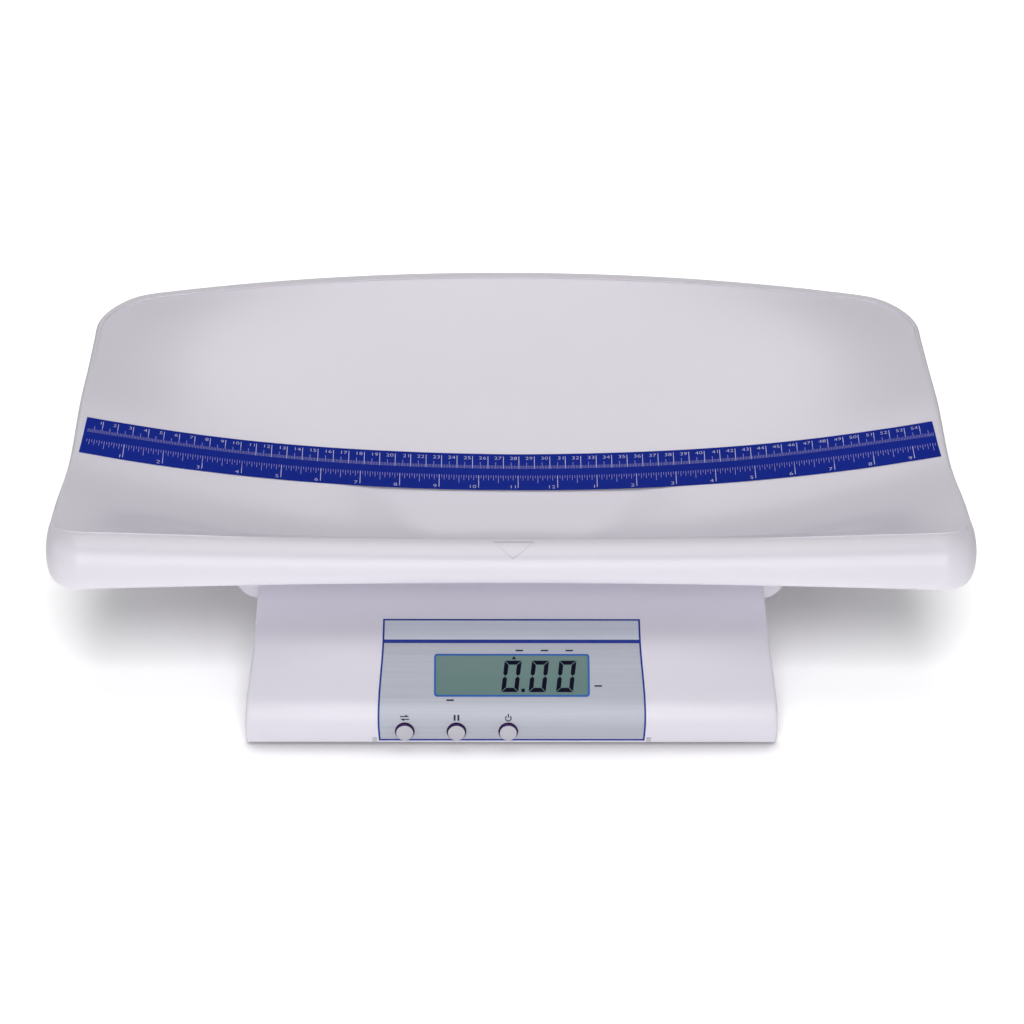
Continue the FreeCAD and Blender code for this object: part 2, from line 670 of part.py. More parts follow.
crest_places += [(back_straight * share, back_crest, 90.0) for share in (0.95, 0.86, 0.74, 0.58, 0.4, 0.2, 0)]

bowl_rows = (0.0, 0.06, 0.13, 0.22, 0.33, 0.45, 0.57, 0.68, 0.78, 0.87, 0.94, 1.0)
# The rim beyond its crest, as shares of its reach and drop: rounded in front, flat-topped behind.
rim_round = ((0.5, 0.13), (0.85, 0.5), (0.95, 1.0))
rim_flat = ((0.62, 0.03), (0.9, 0.3), (0.95, 1.0))


def skin_column(x, depth, angle):
    """Points of the upper skin from the seat out to the crest, over the rim and down its skirt."""
    crest_middle = (front_crest + back_crest) / 2
    ring_angle = math.atan2((depth - crest_middle) * 2 / side_run, x / crest_half(depth))
    seat = V(seat_half_length * math.cos(ring_angle), bowl_depth_line + seat_half_depth * math.sin(ring_angle), 0)
    column = []
    for share in bowl_rows:
        pole = seat + (V(x, depth, 0) - seat) * share
        settle = min(max(share - 0.06, 0) / 0.2, 1.0)
        pole.z = bowl_floor + (bowl_height(pole.x, pole.y) - bowl_floor) * settle
        column.append(pole)
    out = V(math.cos(math.radians(angle)), math.sin(math.radians(angle)), 0)
    front = max(-out.y, 0.0)**2
    back = max(out.y, 0.0)**2
    reach = side_reach + (lip_reach - side_reach) * front + (back_reach - side_reach) * back
    height = edge_height + (lip_height + lip_end_drop * (x / 250.0)**2 - edge_height) * math.sqrt(front)
    upper = height * 0.62
    lower = height * 0.38
    crest = column[-1]
    for (far, drop), (flat_far, flat_drop) in zip(rim_round, rim_flat):
        far += (flat_far - far) * back
        drop += (flat_drop - drop) * back
        column.append(crest + out * (reach * far) - V(0, 0, upper * drop))
    for turn in (40.0, 80.0):
        t = math.radians(turn)
        column.append(crest + out * (reach * (0.95 - 0.3 * (1 - math.cos(t)))) - V(0, 0, upper + lower * math.sin(t)))
    return column


def skin_poles():
    """Poles all round the tray whose smooth surface passes through the points of every column."""
    half = [skin_column(x, depth, angle) for x, depth, angle in crest_places]
    grid = half + [[V(-point.x, point.y, point.z) for point in column] for column in reversed(half[1:-1])]
    poles = grid
    for _ in range(3):
        ring = [[(poles[k - 1][j] + column[j] * 4 + poles[(k + 1) % len(poles)][j]) / 6
                 for j in range(len(column))] for k, column in enumerate(poles)]
        limit = [column[:1] + [(column[j - 1] + column[j] * 4 + column[j + 1]) / 6
                               for j in range(1, len(column) - 1)] + column[-1:] for column in ring]
        poles = [[pole + target - point for pole, target, point in zip(*columns)]
                 for columns in zip(poles, grid, limit)]
    return poles


def moved_poles(grid, amount):
    """The poles moved along the skin's outward normal."""
    moved = []
    for k, column in enumerate(grid):
        after = grid[(k + 1) % len(grid)]
        before = grid[k - 1]
        poles = []
        for j, pole in enumerate(column):
            along = after[j] - before[j]
            across = column[min(j + 1, len(column) - 1)] - column[max(j - 1, 0)]
            normal = across.cross(along) if j else V(0, 0, 1)
            normal.normalize()
            poles.append(pole + normal * amount)
        moved.append(poles)
    return moved


def skin_surface(grid):
    """Cubic surface, closed around the ring and ending on the first and last poles across it."""
    around, across = len(grid), len(grid[0])
    surface = Part.BSplineSurface()
    surface.buildFromPolesMultsKnots(grid, [1] * (around + 1), [4] + [1] * (across - 4) + [4],
                                     list(range(around + 1)), list(range(across - 2)), True, False, 3, 3)
    return surface


def skin_solid(grid_high, grid_low):
    """Solid between two skins, with a flat seat in the middle of each."""
    high, low = skin_surface(grid_high), skin_surface(grid_low)
    faces = []
    for surface in (high, low):
        first = surface.bounds()[2]
        faces += [surface.toShape(), Part.Face(Part.Wire([surface.vIso(first).toShape()]))]
    last = high.bounds()[3]
    faces.append(Part.makeRuledSurface(high.vIso(last).toShape(), low.vIso(last).toShape()))
    sewn = Part.makeShell(faces)
    sewn.sewShape()
    solid = Part.Solid(sewn.Shells[0] if sewn.Shells else sewn)
    if solid.Volume < 0:
        solid.reverse()
    return solid


upper_poles = skin_poles()
tray = skin_solid(upper_poles, moved_poles(upper_poles, -tray_wall))


def rib_profile(x, stations, floor):
    """Outline, in the plane at x, from the floor up into the tray's wall."""
    first, last = V(x, stations[0], floor), V(x, platform_back - platform_corner, floor)
    top = [V(x, depth, bowl_height(x, depth) - tray_wall * 0.5) for depth in stations]
    return Part.Face(Part.makePolygon([first] + top + [last, first]))


def below_skin(shape, x, depth):
    """The part of a shape under the middle of the tray's wall, near a place."""
    run = 0.5
    slope_x = (bowl_height(x + run, depth) - bowl_height(x - run, depth)) / (2 * run)
    slope_y = (bowl_height(x, depth + run) - bowl_height(x, depth - run)) / (2 * run)
    normal = V(-slope_x, -slope_y, 1)
    normal.normalize()
    middle = V(x, depth, bowl_height(x, depth)) - normal * (tray_wall / 2)
    under = Part.makeBox(200, 200, 200, V(-100, -100, -200))
    under.Placement = FreeCAD.Placement(middle, FreeCAD.Rotation(V(0, 0, 1), normal)).multiply(under.Placement)
    return shape.common(under)


# Bosses and ribs moulded under the bowl stand on the platform.
supports = [below_skin(rod(tray_boss_radius, x, y, platform_top, back_crest_rise + bowl_floor), x, y)
            for x, y in tray_boss_places]
for side in (-1, 1):
    profile = rib_profile(side * tray_boss_x - rib_thickness / 2, rib_stations, platform_top)
    supports.append(profile.extrude(V(rib_thickness, 0, 0)))
cross_top = [V(x, tray_boss_back, bowl_height(x, tray_boss_back) - tray_wall * 0.6)
             for x in [tray_boss_x * i / 4 for i in range(-4, 5)]]
cross_low = [V(side * tray_boss_x, tray_boss_back, platform_top) for side in (1, -1)]
cross = Part.Face(Part.makePolygon(cross_top + cross_low + cross_top[:1]))
supports.append(cross.extrude(V(0, rib_thickness, 0)))
tray = tray.fuse(supports)
for x, y in tray_boss_places:
    tray = tray.cut(rod(tray_bolt, x, y, platform_top - 1, platform_top + tray_boss_height))
save("tray", [tray])
tray_screw = screw(tray_bolt, 4.5, 2.6, tray_screw_length)
save("tray_screws", [placed(tray_screw, x, y, roof) for x, y in tray_boss_places])


# ---------------------------------------------------------------- measuring tape
def tape_sheet(lift):
    """Smooth sheet a little above the bowl, narrowed in plan by the slope beneath it."""
    rows = []
    for i in range(-tape_steps, tape_steps + 1):
        x = tape_half_span * i / tape_steps
        middle = tape_depth - tape_bow * (abs(x) / tape_half_span)**tape_curve
        run = 0.5
        slope = (bowl_height(x, middle + run) - bowl_height(x, middle - run)) / (2 * run)
        half = tape_width / 2 / math.sqrt(1 + slope**2)
        row = []
        for share in (-1.0, -0.5, 0.0, 0.5, 1.0):
            depth = middle + half * share
            u, v = upper_skin.parameter(V(x, depth, bowl_height(x, depth)))
            normal = upper_skin.normal(u, v)
            row.append(upper_skin.value(u, v) + normal * math.copysign(lift, normal.z))
        rows.append(row)
    sheet = Part.BSplineSurface()
    sheet.interpolate(rows)
    return sheet


upper_skin = skin_surface(upper_poles)
under, over = tape_sheet(tape_lift), tape_sheet(tape_lift + tape_thickness)
first_u, last_u, first_v, last_v = under.bounds()
faces = [under.toShape(), over.toShape()]
faces += [Part.makeRuledSurface(under.uIso(u).toShape(), over.uIso(u).toShape()) for u in (first_u, last_u)]
faces += [Part.makeRuledSurface(under.vIso(v).toShape(), over.vIso(v).toShape()) for v in (first_v, last_v)]
tape_shell = Part.makeShell(faces)
tape_shell.sewShape()
tape = Part.Solid(tape_shell.Shells[0] if tape_shell.Shells else tape_shell)
if tape.Volume < 0:
    tape.reverse()
save("measuring_tape", [tape])

# ---------------------------------------------------------------- buttons and their board
flange_depth = 1.2
flange_front = 3.4
stem_end = flange_front + flange_depth + 3.6
tact_tip = stem_end + button_travel + 0.1
tact_front = tact_tip + 0.9
for name, x in button_places.items():
    dome = Part.makeSphere(button_dome, V(x, button_dome - button_proud, button_z))
    cap = Part.makeCylinder(button_radius, button_proud + shell_wall - 0.9, V(x, -button_proud, button_z), V(0, 1, 0))
    cap = cap.common(dome)
    neck = block(x - button_neck / 2, x + button_neck / 2, 1.2, flange_front + 0.2,
                 button_z - button_neck / 2, button_z + button_neck / 2)
    flange = block(x - 8, x + 8, flange_front, flange_front + flange_depth, button_z - 4.0, button_z + 5.0)
    stem = Part.makeCylinder(2.0, stem_end - flange_front, V(x, flange_front, button_z), V(0, 1, 0))
    save(name, [cap.fuse([neck, flange, stem])])

switches = []
for x in button_places.values():
    body = block(x - 3, x + 3, tact_front, button_board_front, button_z - 3, button_z + 3)
    plunger = Part.makeCylinder(1.7, tact_front - tact_tip + 0.2, V(x, tact_tip, button_z), V(0, 1, 0))
    switches.append(body.fuse(plunger))
save("tact_switches", switches)
button_board = block(button_middle_x - button_pitch - 13, button_middle_x + button_pitch + 13, button_board_front,
                     button_board_front + board_thickness, cover_top + 1.0, rib_height - 0.5)
save("button_board", [button_board])

# ---------------------------------------------------------------- display module
window_centre = front_point(window_middle, 0)
window_slope = toe_slope - math.degrees((window_middle - toe_height - toe_length) / slope_radius)
module_tilt = FreeCAD.Placement(window_centre, FreeCAD.Rotation(V(1, 0, 0), window_slope))


def on_slope(shape):
    shape = shape.copy()
    shape.Placement = module_tilt.multiply(shape.Placement)
    return shape


half_v = holder_width / 2
holder_front = -(shell_wall + half_v**2 / (2 * (slope_radius - shell_wall)) + 0.15)
holder_lip = 1.2
holder = block(-holder_length / 2, holder_length / 2, -half_v, half_v, holder_front - holder_depth, holder_front)
holder = holder.cut(block(-window_width / 2 - 1, window_width / 2 + 1, -15, 15, holder_front - holder_depth - 1,
                          holder_front + 1))
holder = holder.cut(block(-glass_length / 2 - 0.2, glass_length / 2 + 0.2, -glass_width / 2 - 0.2,
                          glass_width / 2 + 0.2, holder_front - holder_depth - 1, holder_front - holder_lip))
save("display_holder", [on_slope(holder).common(inside)])
glass_front = holder_front - holder_lip
glass = block(-glass_length / 2, glass_length / 2, -glass_width / 2, glass_width / 2,
              glass_front - glass_thickness, glass_front)
save("lcd_glass", [on_slope(glass)])
board_front = holder_front - holder_depth
strips = [block(-glass_length / 2 + 3, glass_length / 2 - 3, side * (glass_width / 2 - 2.5) - 1.2,
                side * (glass_width / 2 - 2.5) + 1.2, board_front, glass_front - glass_thickness)
          for side in (-1, 1)]
save("contact_strips", [on_slope(strip) for strip in strips])
display_board = block(-display_board_length / 2, display_board_length / 2, -half_v, display_board_width - half_v,
                      board_front - board_thickness, board_front)
save("display_board", [on_slope(display_board)])

# ---------------------------------------------------------------- battery compartment
cell_z = base_low + door_thickness + 0.7 + aa_radius
box_roof = cell_z + aa_radius + 0.5
box_x0 = opening_x0 - battery_wall
box_x1 = opening_x1 + battery_wall
box = block(box_x0, box_x1, battery_front - battery_wall, battery_back + battery_wall, cover_top,
            box_roof + battery_wall)
box = box.cut(block(opening_x0, opening_x1, battery_front, battery_back, cover_top - 1, box_roof))
save("battery_box", [box])
first_cell = battery_front + 1.0 + aa_radius
cell_rows = [first_cell + aa_pitch * i for i in range(aa_count)]
cells = []
for i, y in enumerate(cell_rows):
    way = 1 if i % 2 else -1
    can = Part.makeCylinder(aa_radius, aa_length - 1.2, V(battery_x - way * aa_length / 2, y, cell_z), V(way, 0, 0))
    nub = Part.makeCylinder(2.7, 1.4, V(battery_x + way * (aa_length / 2 - 1.4), y, cell_z), V(way, 0, 0))
    cells.append(can.fuse(nub))
save("aa_cells", cells)
contacts = []
for i, y in enumerate(cell_rows):
    way = 1 if i % 2 else -1
    for side in (-1, 1):
        wall = battery_x + side * battery_half_x
        inner = wall - side * 0.5
        plate = block(min(wall, inner), max(wall, inner), y - 5, y + 5, cell_z - 5, cell_z + 5)
        if side == -way:
            coil_length = battery_half_x - 0.5 - aa_length / 2 - 0.1
            coil = Part.makeCone(4.2, 2.4, coil_length, V(wall - side * 0.5, y, cell_z), V(-side, 0, 0))
            plate = plate.fuse(coil)
        else:
            tip = Part.makeCylinder(3.0, battery_half_x - 0.6 - aa_length / 2, V(wall - side * 0.5, y, cell_z),
                                    V(-side, 0, 0))
            plate = plate.fuse(tip)
        contacts.append(plate)
save("battery_contacts", contacts)

# The door turns on two stub pins at the ends of its rounded edge, held in the bottom cover.
door = block(opening_x0 + door_gap, hinge_x, battery_front + door_gap, battery_back - door_gap,
             base_low, base_low + door_thickness)
knuckle = Part.makeCylinder(door_thickness / 2, battery_back - battery_front - 2 * door_gap,
                            V(hinge_x, battery_front + door_gap, hinge_z), V(0, 1, 0))
pin_length = battery_back - battery_front + 2 * hinge_pin_length
pins = Part.makeCylinder(hinge_pin_radius, pin_length, V(hinge_x, battery_front - hinge_pin_length, hinge_z),
                         V(0, 1, 0))
middle_y = (battery_front + battery_back) / 2
latch = block(opening_x0 + door_gap, opening_x0 + door_gap + 2, middle_y - 7, middle_y + 7, base_low,
              base_low + door_thickness + 2.5)
door = door.fuse([latch, knuckle, pins])
for i in range(4):
    grip = middle_y - 9 + 6 * i
    door = door.cut(block(opening_x0 + 4, opening_x0 + 14, grip - 1, grip + 1, base_low - 1, base_low + 0.6))
save("battery_door", [door])

# ---------------------------------------------------------------- main board and power inlet
board_x0 = frame_half_width + 2 * stack_gap
board_x1 = board_x0 + board_width
board_y0 = stack_middle - board_depth * 0.825
board_y1 = board_y0 + board_depth
board_low = cover_top + board_lift
standoff_places = [(x, y) for x in (board_x0 + board_hole_inset, board_x1 - board_hole_inset)
                   for y in (board_y0 + board_hole_inset, board_y1 - board_hole_inset)]
main_board = block(board_x0, board_x1, board_y0, board_y1, board_low, board_low + board_thickness)
for x, y in standoff_places:
    main_board = main_board.cut(rod(screw_radius, x, y, board_low - 1, board_low + 3))
save("main_board", [main_board])
standoffs = [rod(standoff_radius, x, y, cover_top, board_low)
             .cut(rod(screw_radius, x, y, cover_top + 1, board_low + 1))
             for x, y in standoff_places]
save("board_standoffs", standoffs)
board_screw = screw(screw_radius, board_screw_head, 1.6, board_screw_length)
board_screws = []
for x, y in standoff_places:
    turned_over = board_screw.copy()
    turned_over.rotate(V(0, 0, 0), V(1, 0, 0), 180)
    board_screws.append(placed(turned_over, x, y, board_low + board_thickness))
save("board_screws", board_screws)
board_top = board_low + board_thickness
# (left, right, front, back, height) on the board: processor, driver, transformer and connector.
laid_out = [(17, 31, 30, 44, 1.6), (6, 14, 18, 23, 1.4), (38, 48, 40, 58, 6), (20, 38, 2, 8, 7)]
parts = [block(board_x0 + left, board_x0 + right, board_y0 + front, board_y0 + back, board_top, board_top + tall)
         for left, right, front, back, tall in laid_out]
# (radius, across, along, height) of the two upright capacitors.
parts += [rod(radius, board_x0 + across, board_y0 + along, board_top, board_top + tall)
          for radius, across, along, tall in ((4, 42, 22, 11), (3, 10, 58, 8))]
save("board_components", parts)

jack = Part.makeCylinder(jack_radius, jack_length + 1.2, V(jack_x, base_depth - jack_length, jack_z), V(0, 1, 0))
bezel = Part.makeCylinder(5.8, 1.2, V(jack_x, base_depth, jack_z), V(0, 1, 0))
nut = Part.makeCylinder(6.0, 2.5, V(jack_x, base_depth - shell_wall - 2.5, jack_z), V(0, 1, 0))
jack = jack.fuse([bezel, nut])
jack = jack.cut(Part.makeCylinder(2.8, 9.5, V(jack_x, base_depth + 1.2 - 9.5, jack_z), V(0, 1, 0)))
jack = jack.fuse(Part.makeCylinder(1.0, 8.5, V(jack_x, base_depth + 1.2 - 9.6, jack_z), V(0, 1, 0)))
save("power_jack", [jack])
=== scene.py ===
import math

import bmesh
import bpy
import numpy as np
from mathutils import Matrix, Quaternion, Vector
from mathutils.geometry import tessellate_polygon


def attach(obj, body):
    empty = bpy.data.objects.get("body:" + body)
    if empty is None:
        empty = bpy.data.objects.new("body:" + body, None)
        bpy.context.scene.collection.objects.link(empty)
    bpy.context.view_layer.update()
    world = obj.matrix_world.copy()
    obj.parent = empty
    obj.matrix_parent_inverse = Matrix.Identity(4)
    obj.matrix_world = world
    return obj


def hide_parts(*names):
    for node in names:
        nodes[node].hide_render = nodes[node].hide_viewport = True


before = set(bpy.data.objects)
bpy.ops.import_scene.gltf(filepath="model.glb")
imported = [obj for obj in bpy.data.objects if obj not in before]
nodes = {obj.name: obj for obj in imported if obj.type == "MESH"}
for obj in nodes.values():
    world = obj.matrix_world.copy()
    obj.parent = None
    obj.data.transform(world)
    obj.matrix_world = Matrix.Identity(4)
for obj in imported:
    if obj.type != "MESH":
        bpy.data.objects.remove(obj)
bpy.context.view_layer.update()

MM = 0.001
base_front = -0.1637            # where the base's front face stands in the frame


# ------------------------------------------------------------------ moulded white plastic
# All the white parts are injection-moulded ABS, smooth but not polished, with a cool
# lavender-white colour. The mould leaves an even fine texture and a faint unevenness.
def new_material(name):
    """Material with its node tree and its shader."""
    material = bpy.data.materials.new(name)
    material.use_nodes = True
    tree = material.node_tree
    return material, tree, tree.nodes["Principled BSDF"]


def grain_group():
    """Node group: a fine even grain on Object coordinates, as a height and as a slow mottle."""
    group = bpy.data.node_groups.new("moulded_grain", "ShaderNodeTree")
    group.interface.new_socket("Scale", in_out="INPUT", socket_type="NodeSocketFloat")
    group.interface.new_socket("Height", in_out="OUTPUT", socket_type="NodeSocketFloat")
    group.interface.new_socket("Mottle", in_out="OUTPUT", socket_type="NodeSocketFloat")
    start = group.nodes.new("NodeGroupInput")
    end = group.nodes.new("NodeGroupOutput")
    place = group.nodes.new("ShaderNodeTexCoord")
    fine = group.nodes.new("ShaderNodeTexNoise")
    fine.inputs["Detail"].default_value = 3.0
    slow = group.nodes.new("ShaderNodeTexNoise")
    slow.inputs["Scale"].default_value = 9.0
    slow.inputs["Detail"].default_value = 2.0
    for noise in (fine, slow):
        group.links.new(place.outputs["Object"], noise.inputs["Vector"])
    group.links.new(start.outputs["Scale"], fine.inputs["Scale"])
    group.links.new(fine.outputs["Fac"], end.inputs["Height"])
    group.links.new(slow.outputs["Fac"], end.inputs["Mottle"])
    return group


grain = grain_group()


def two_tone(tree, light, dark, low=0.3, high=0.7):
    """Colour ramp from a darker tone to a lighter one."""
    tone = tree.nodes.new("ShaderNodeValToRGB")
    for element, place, colour in zip(tone.color_ramp.elements, (low, high), (dark, light)):
        element.position = place
        element.color = (*colour, 1)
    return tone


def relief(tree, strength):
    """Bump node for a relief a fifth of a millimetre deep."""
    bump = tree.nodes.new("ShaderNodeBump")
    bump.inputs["Strength"].default_value = strength
    bump.inputs["Distance"].default_value = 0.2 * MM
    return bump


def grained(name, light, dark, roughness, spread=0.04, scale=1400.0, bump=0.04, metallic=0.0,
            coat=0.0, shine=0.5):
    """Material whose colour drifts between two tones, with a fine grain in its surface."""
    material, tree, shader = new_material(name)
    group = tree.nodes.new("ShaderNodeGroup")
    group.node_tree = grain
    group.inputs["Scale"].default_value = scale
    tone = two_tone(tree, light, dark)
    gloss = tree.nodes.new("ShaderNodeMapRange")
    gloss.inputs["To Min"].default_value = roughness - spread
    gloss.inputs["To Max"].default_value = roughness + spread
    surface = relief(tree, bump)
    links = tree.links
    links.new(group.outputs["Mottle"], tone.inputs["Fac"])
    links.new(tone.outputs["Color"], shader.inputs["Base Color"])
    links.new(group.outputs["Mottle"], gloss.inputs["Value"])
    links.new(gloss.outputs["Result"], shader.inputs["Roughness"])
    links.new(group.outputs["Height"], surface.inputs["Height"])
    links.new(surface.outputs["Normal"], shader.inputs["Normal"])
    shader.inputs["Metallic"].default_value = metallic
    shader.inputs["Specular IOR Level"].default_value = shine
    shader.inputs["Coat Weight"].default_value = coat
    shader.inputs["Coat Roughness"].default_value = roughness * 0.7
    return material


white_plastic = grained("white_plastic", (0.80, 0.765, 0.845), (0.785, 0.75, 0.83), 0.36, coat=0.4)
housing_plastic = grained("housing_plastic", (0.80, 0.775, 0.865), (0.785, 0.76, 0.85), 0.36, coat=0.4)


# ------------------------------------------------------------------ bowl tray
# The tray is one moulded sheet of ABS, 3 mm thick. Its rim rolls over into a skirt all
# round, deep along the front, and the bowl is lowest a third of the way back.
tray_wall = 3.0
seat_half_length, seat_half_depth = 30.0, 6.0
bowl_floor = 72.2
bowl_depth_line = 113.0
bowl_curve = 2.05
settle_from, settle_run = 0.06, 0.2     # shares of the way out where the floor becomes the bowl
tray_back = 330.0
lip_front = 27.0
lip_reach, side_reach, back_reach = 18.0, 5.0, 13.0
front_crest = lip_front + lip_reach
back_crest = tray_back - back_reach
front_radius, back_radius = 14.0, 36.0
back_radius_outside = 30.0              # the outline turns tighter than the crest inside it
lip_height, edge_height = 24.0, 14.0
lip_half, lip_end_drop = 250.0, 8.6     # this far out the lip is that much deeper


def smooth(stations, at):
    """Value on a smooth curve through stations of (place, value, slope)."""
    if at <= stations[0][0]:
        return stations[0][1] + stations[0][2] * (at - stations[0][0])
    for (a, low, slope_a), (b, high, slope_b) in zip(stations, stations[1:]):
        if at <= b:
            h = b - a
            u = (at - a) / h
            return ((2 * u**3 - 3 * u**2 + 1) * low + (u**3 - 2 * u**2 + u) * h * slope_a
                    + (3 * u**2 - 2 * u**3) * high + (u**3 - u**2) * h * slope_b)
    return stations[-1][1] + stations[-1][2] * (at - stations[-1][0])


# Depth from the base's front, height over the bowl's floor and slope, in millimetres.
middle_line = [(45.0, 48.8, -0.4), (63.0, 37.8, -0.95), (84.0, 15.8, -1.1), (100.0, 2.8, -0.45),
               (113.0, 0.0, 0.0), (150.0, 6.3, 0.34), (187.0, 23.3, 0.58), (250.1, 63.8, 0.68),
               (300.0, 96.8, 0.6), (317.0, 107.2, 0.55)]
side_line = [(45.0, 53.8, -0.15), (100.4, 55.3, 0.04), (135.0, 58.6, 0.28), (158.0, 67.4, 0.5),
             (182.1, 76.6, 0.26), (230.0, 82.2, 0.08), (317.0, 86.8, 0.05)]
# Half the tray's width in place of the height.
width_line = [(27.0, 283.4, 0.0), (60.2, 283.2, -0.02), (110.1, 281.2, -0.06), (169.7, 277.7, -0.03),
              (230.0, 276.9, 0.0), (330.0, 278.2, 0.01)]


def crest_half(depth):
    """Half the width between the side crests."""
    return smooth(width_line, depth) - side_reach


def bowl_height(x, depth):
    """Height of the bowl's upper surface."""
    middle = smooth(middle_line, depth)
    side = smooth(side_line, depth)
    return bowl_floor + middle + (side - middle) * (abs(x) / crest_half(depth))**bowl_curve


def on_circle(x, y, radius, degrees):
    """Point on a circle, at an angle counted from +X towards +Y."""
    return x + radius * math.cos(math.radians(degrees)), y + radius * math.sin(math.radians(degrees))


def crest_places():
    """Half of the rim's crest in plan: (x, depth, outward angle), front middle to back middle."""
    front_corner, back_corner = front_crest + front_radius, back_crest - back_radius
    front_straight = crest_half(front_corner) - front_radius
    back_straight = crest_half(back_corner) - back_radius
    places = [(front_straight * share, front_crest, -90.0)
              for share in (0, 0.2, 0.4, 0.58, 0.74, 0.86, 0.94, 0.98)]
    for turn in (-90, -67.5, -45, -22.5, 0):
        places.append((*on_circle(front_straight, front_corner, front_radius, turn), turn))
    for share in (0.03, 0.08, 0.16, 0.26, 0.36, 0.46, 0.56, 0.66, 0.76, 0.86, 0.94):
        depth = front_corner + (back_corner - front_corner) * share
        places.append((crest_half(depth), depth, 0.0))
    for turn in (0, 18, 36, 54, 72, 90):
        places.append((*on_circle(back_straight, back_corner, back_radius, turn), turn))
    return places + [(back_straight * share, back_crest, 90.0)
                     for share in (0.95, 0.86, 0.74, 0.58, 0.4, 0.2, 0)]


bowl_rows = (0.0, 0.06, 0.13, 0.22, 0.33, 0.45, 0.57, 0.68, 0.78, 0.87, 0.94)
crest_edge, crest_dip = 1.4, 0.1        # rows this close to the crest draw its edge crisp
# The rim beyond its crest, as shares of its reach and drop: rounded in front, flat-topped behind.
rim_round = ((0.5, 0.13), (0.85, 0.5), (0.95, 1.0))
rim_flat = ((0.62, 0.03), (0.9, 0.3), (0.95, 1.0))
# The skirt starts this share of the height down, stands this share of the reach out and tucks in.
skirt_start, skirt_out, skirt_tuck = 0.62, 0.95, 0.3


def skin_column(x, depth, angle):
    """Cage points of the upper skin from the seat out to the crest, over the rim and down its skirt."""
    ring_angle = math.atan2((depth - (front_crest + back_crest) / 2) * 2 / (back_crest - front_crest),
                            x / crest_half(depth))
    seat = Vector((seat_half_length * math.cos(ring_angle),
                   bowl_depth_line + seat_half_depth * math.sin(ring_angle), 0))
    way = Vector((x, depth, 0)) - seat
    column = []
    for share in bowl_rows + (1 - crest_edge / way.length, 1.0):
        point = seat + way * share
        settle = min(max(share - settle_from, 0) / settle_run, 1.0)
        point.z = bowl_floor + (bowl_height(point.x, point.y) - bowl_floor) * settle
        column.append(point)
    crest = column[-1]
    out = Vector((math.cos(math.radians(angle)), math.sin(math.radians(angle)), 0))
    front, back = max(-out.y, 0.0)**2, max(out.y, 0.0)**2
    reach = side_reach + (lip_reach - side_reach) * front + (back_reach - side_reach) * back
    if out.y > 0:
        reach += (back_radius - back_radius_outside) * (abs(out.x) + out.y - 1)
    lip = lip_height + lip_end_drop * (x / lip_half)**2
    height = edge_height + (lip - edge_height) * math.sqrt(front)
    upper, lower = height * skirt_start, height * (1 - skirt_start)
    column.append(crest + out * crest_edge - Vector((0, 0, crest_dip * (1 - back))))
    for (far, drop), (flat_far, flat_drop) in zip(rim_round, rim_flat):
        far += (flat_far - far) * back
        drop += (flat_drop - drop) * back
        column.append(crest + out * (reach * far) - Vector((0, 0, upper * drop)))
    for turn in (math.radians(40), math.radians(80)):
        far = skirt_out - skirt_tuck * (1 - math.cos(turn))
        column.append(crest + out * (reach * far) - Vector((0, 0, upper + lower * math.sin(turn))))
    return column


def drawn_through(grid):
    """Cage points whose smoothed surface passes through a grid of points."""
    cage = grid
    for _ in range(3):
        around = [[(cage[k - 1][j] + column[j] * 4 + cage[(k + 1) % len(cage)][j]) / 6
                   for j in range(len(column))] for k, column in enumerate(cage)]
        limit = [[column[0]] + [(column[j - 1] + column[j] * 4 + column[j + 1]) / 6
                                for j in range(1, len(column) - 1)] + [column[-1]] for column in around]
        cage = [[pole + target - point for pole, target, point in zip(*columns)]
                for columns in zip(cage, grid, limit)]
    return cage


def mesh_piece(name, verts, faces, material, smooth_shade=True):
    """Object with a mesh from points in millimetres, depth measured from the base's front."""
    mesh = bpy.data.meshes.new(name)
    mesh.from_pydata([(x * MM, y * MM + base_front, z * MM) for x, y, z in verts], [], faces)
    mesh.polygons.foreach_set("use_smooth", [smooth_shade] * len(mesh.polygons))
    mesh.materials.append(material)
    piece = bpy.data.objects.new(name, mesh)
    bpy.context.scene.collection.objects.link(piece)
    return piece


def settled(piece):
    """The piece with its modifiers worked into a plain mesh."""
    bpy.context.view_layer.update()
    mesh = bpy.data.meshes.new_from_object(piece.evaluated_get(bpy.context.evaluated_depsgraph_get()))
    piece.modifiers.clear()
    piece.data = mesh
    return piece


def faced_outwards(piece):
    """The piece with every face turned to point out of it."""
    bm = bmesh.new()
    bm.from_mesh(piece.data)
    bmesh.ops.recalc_face_normals(bm, faces=bm.faces)
    bm.to_mesh(piece.data)
    bm.free()
    return piece


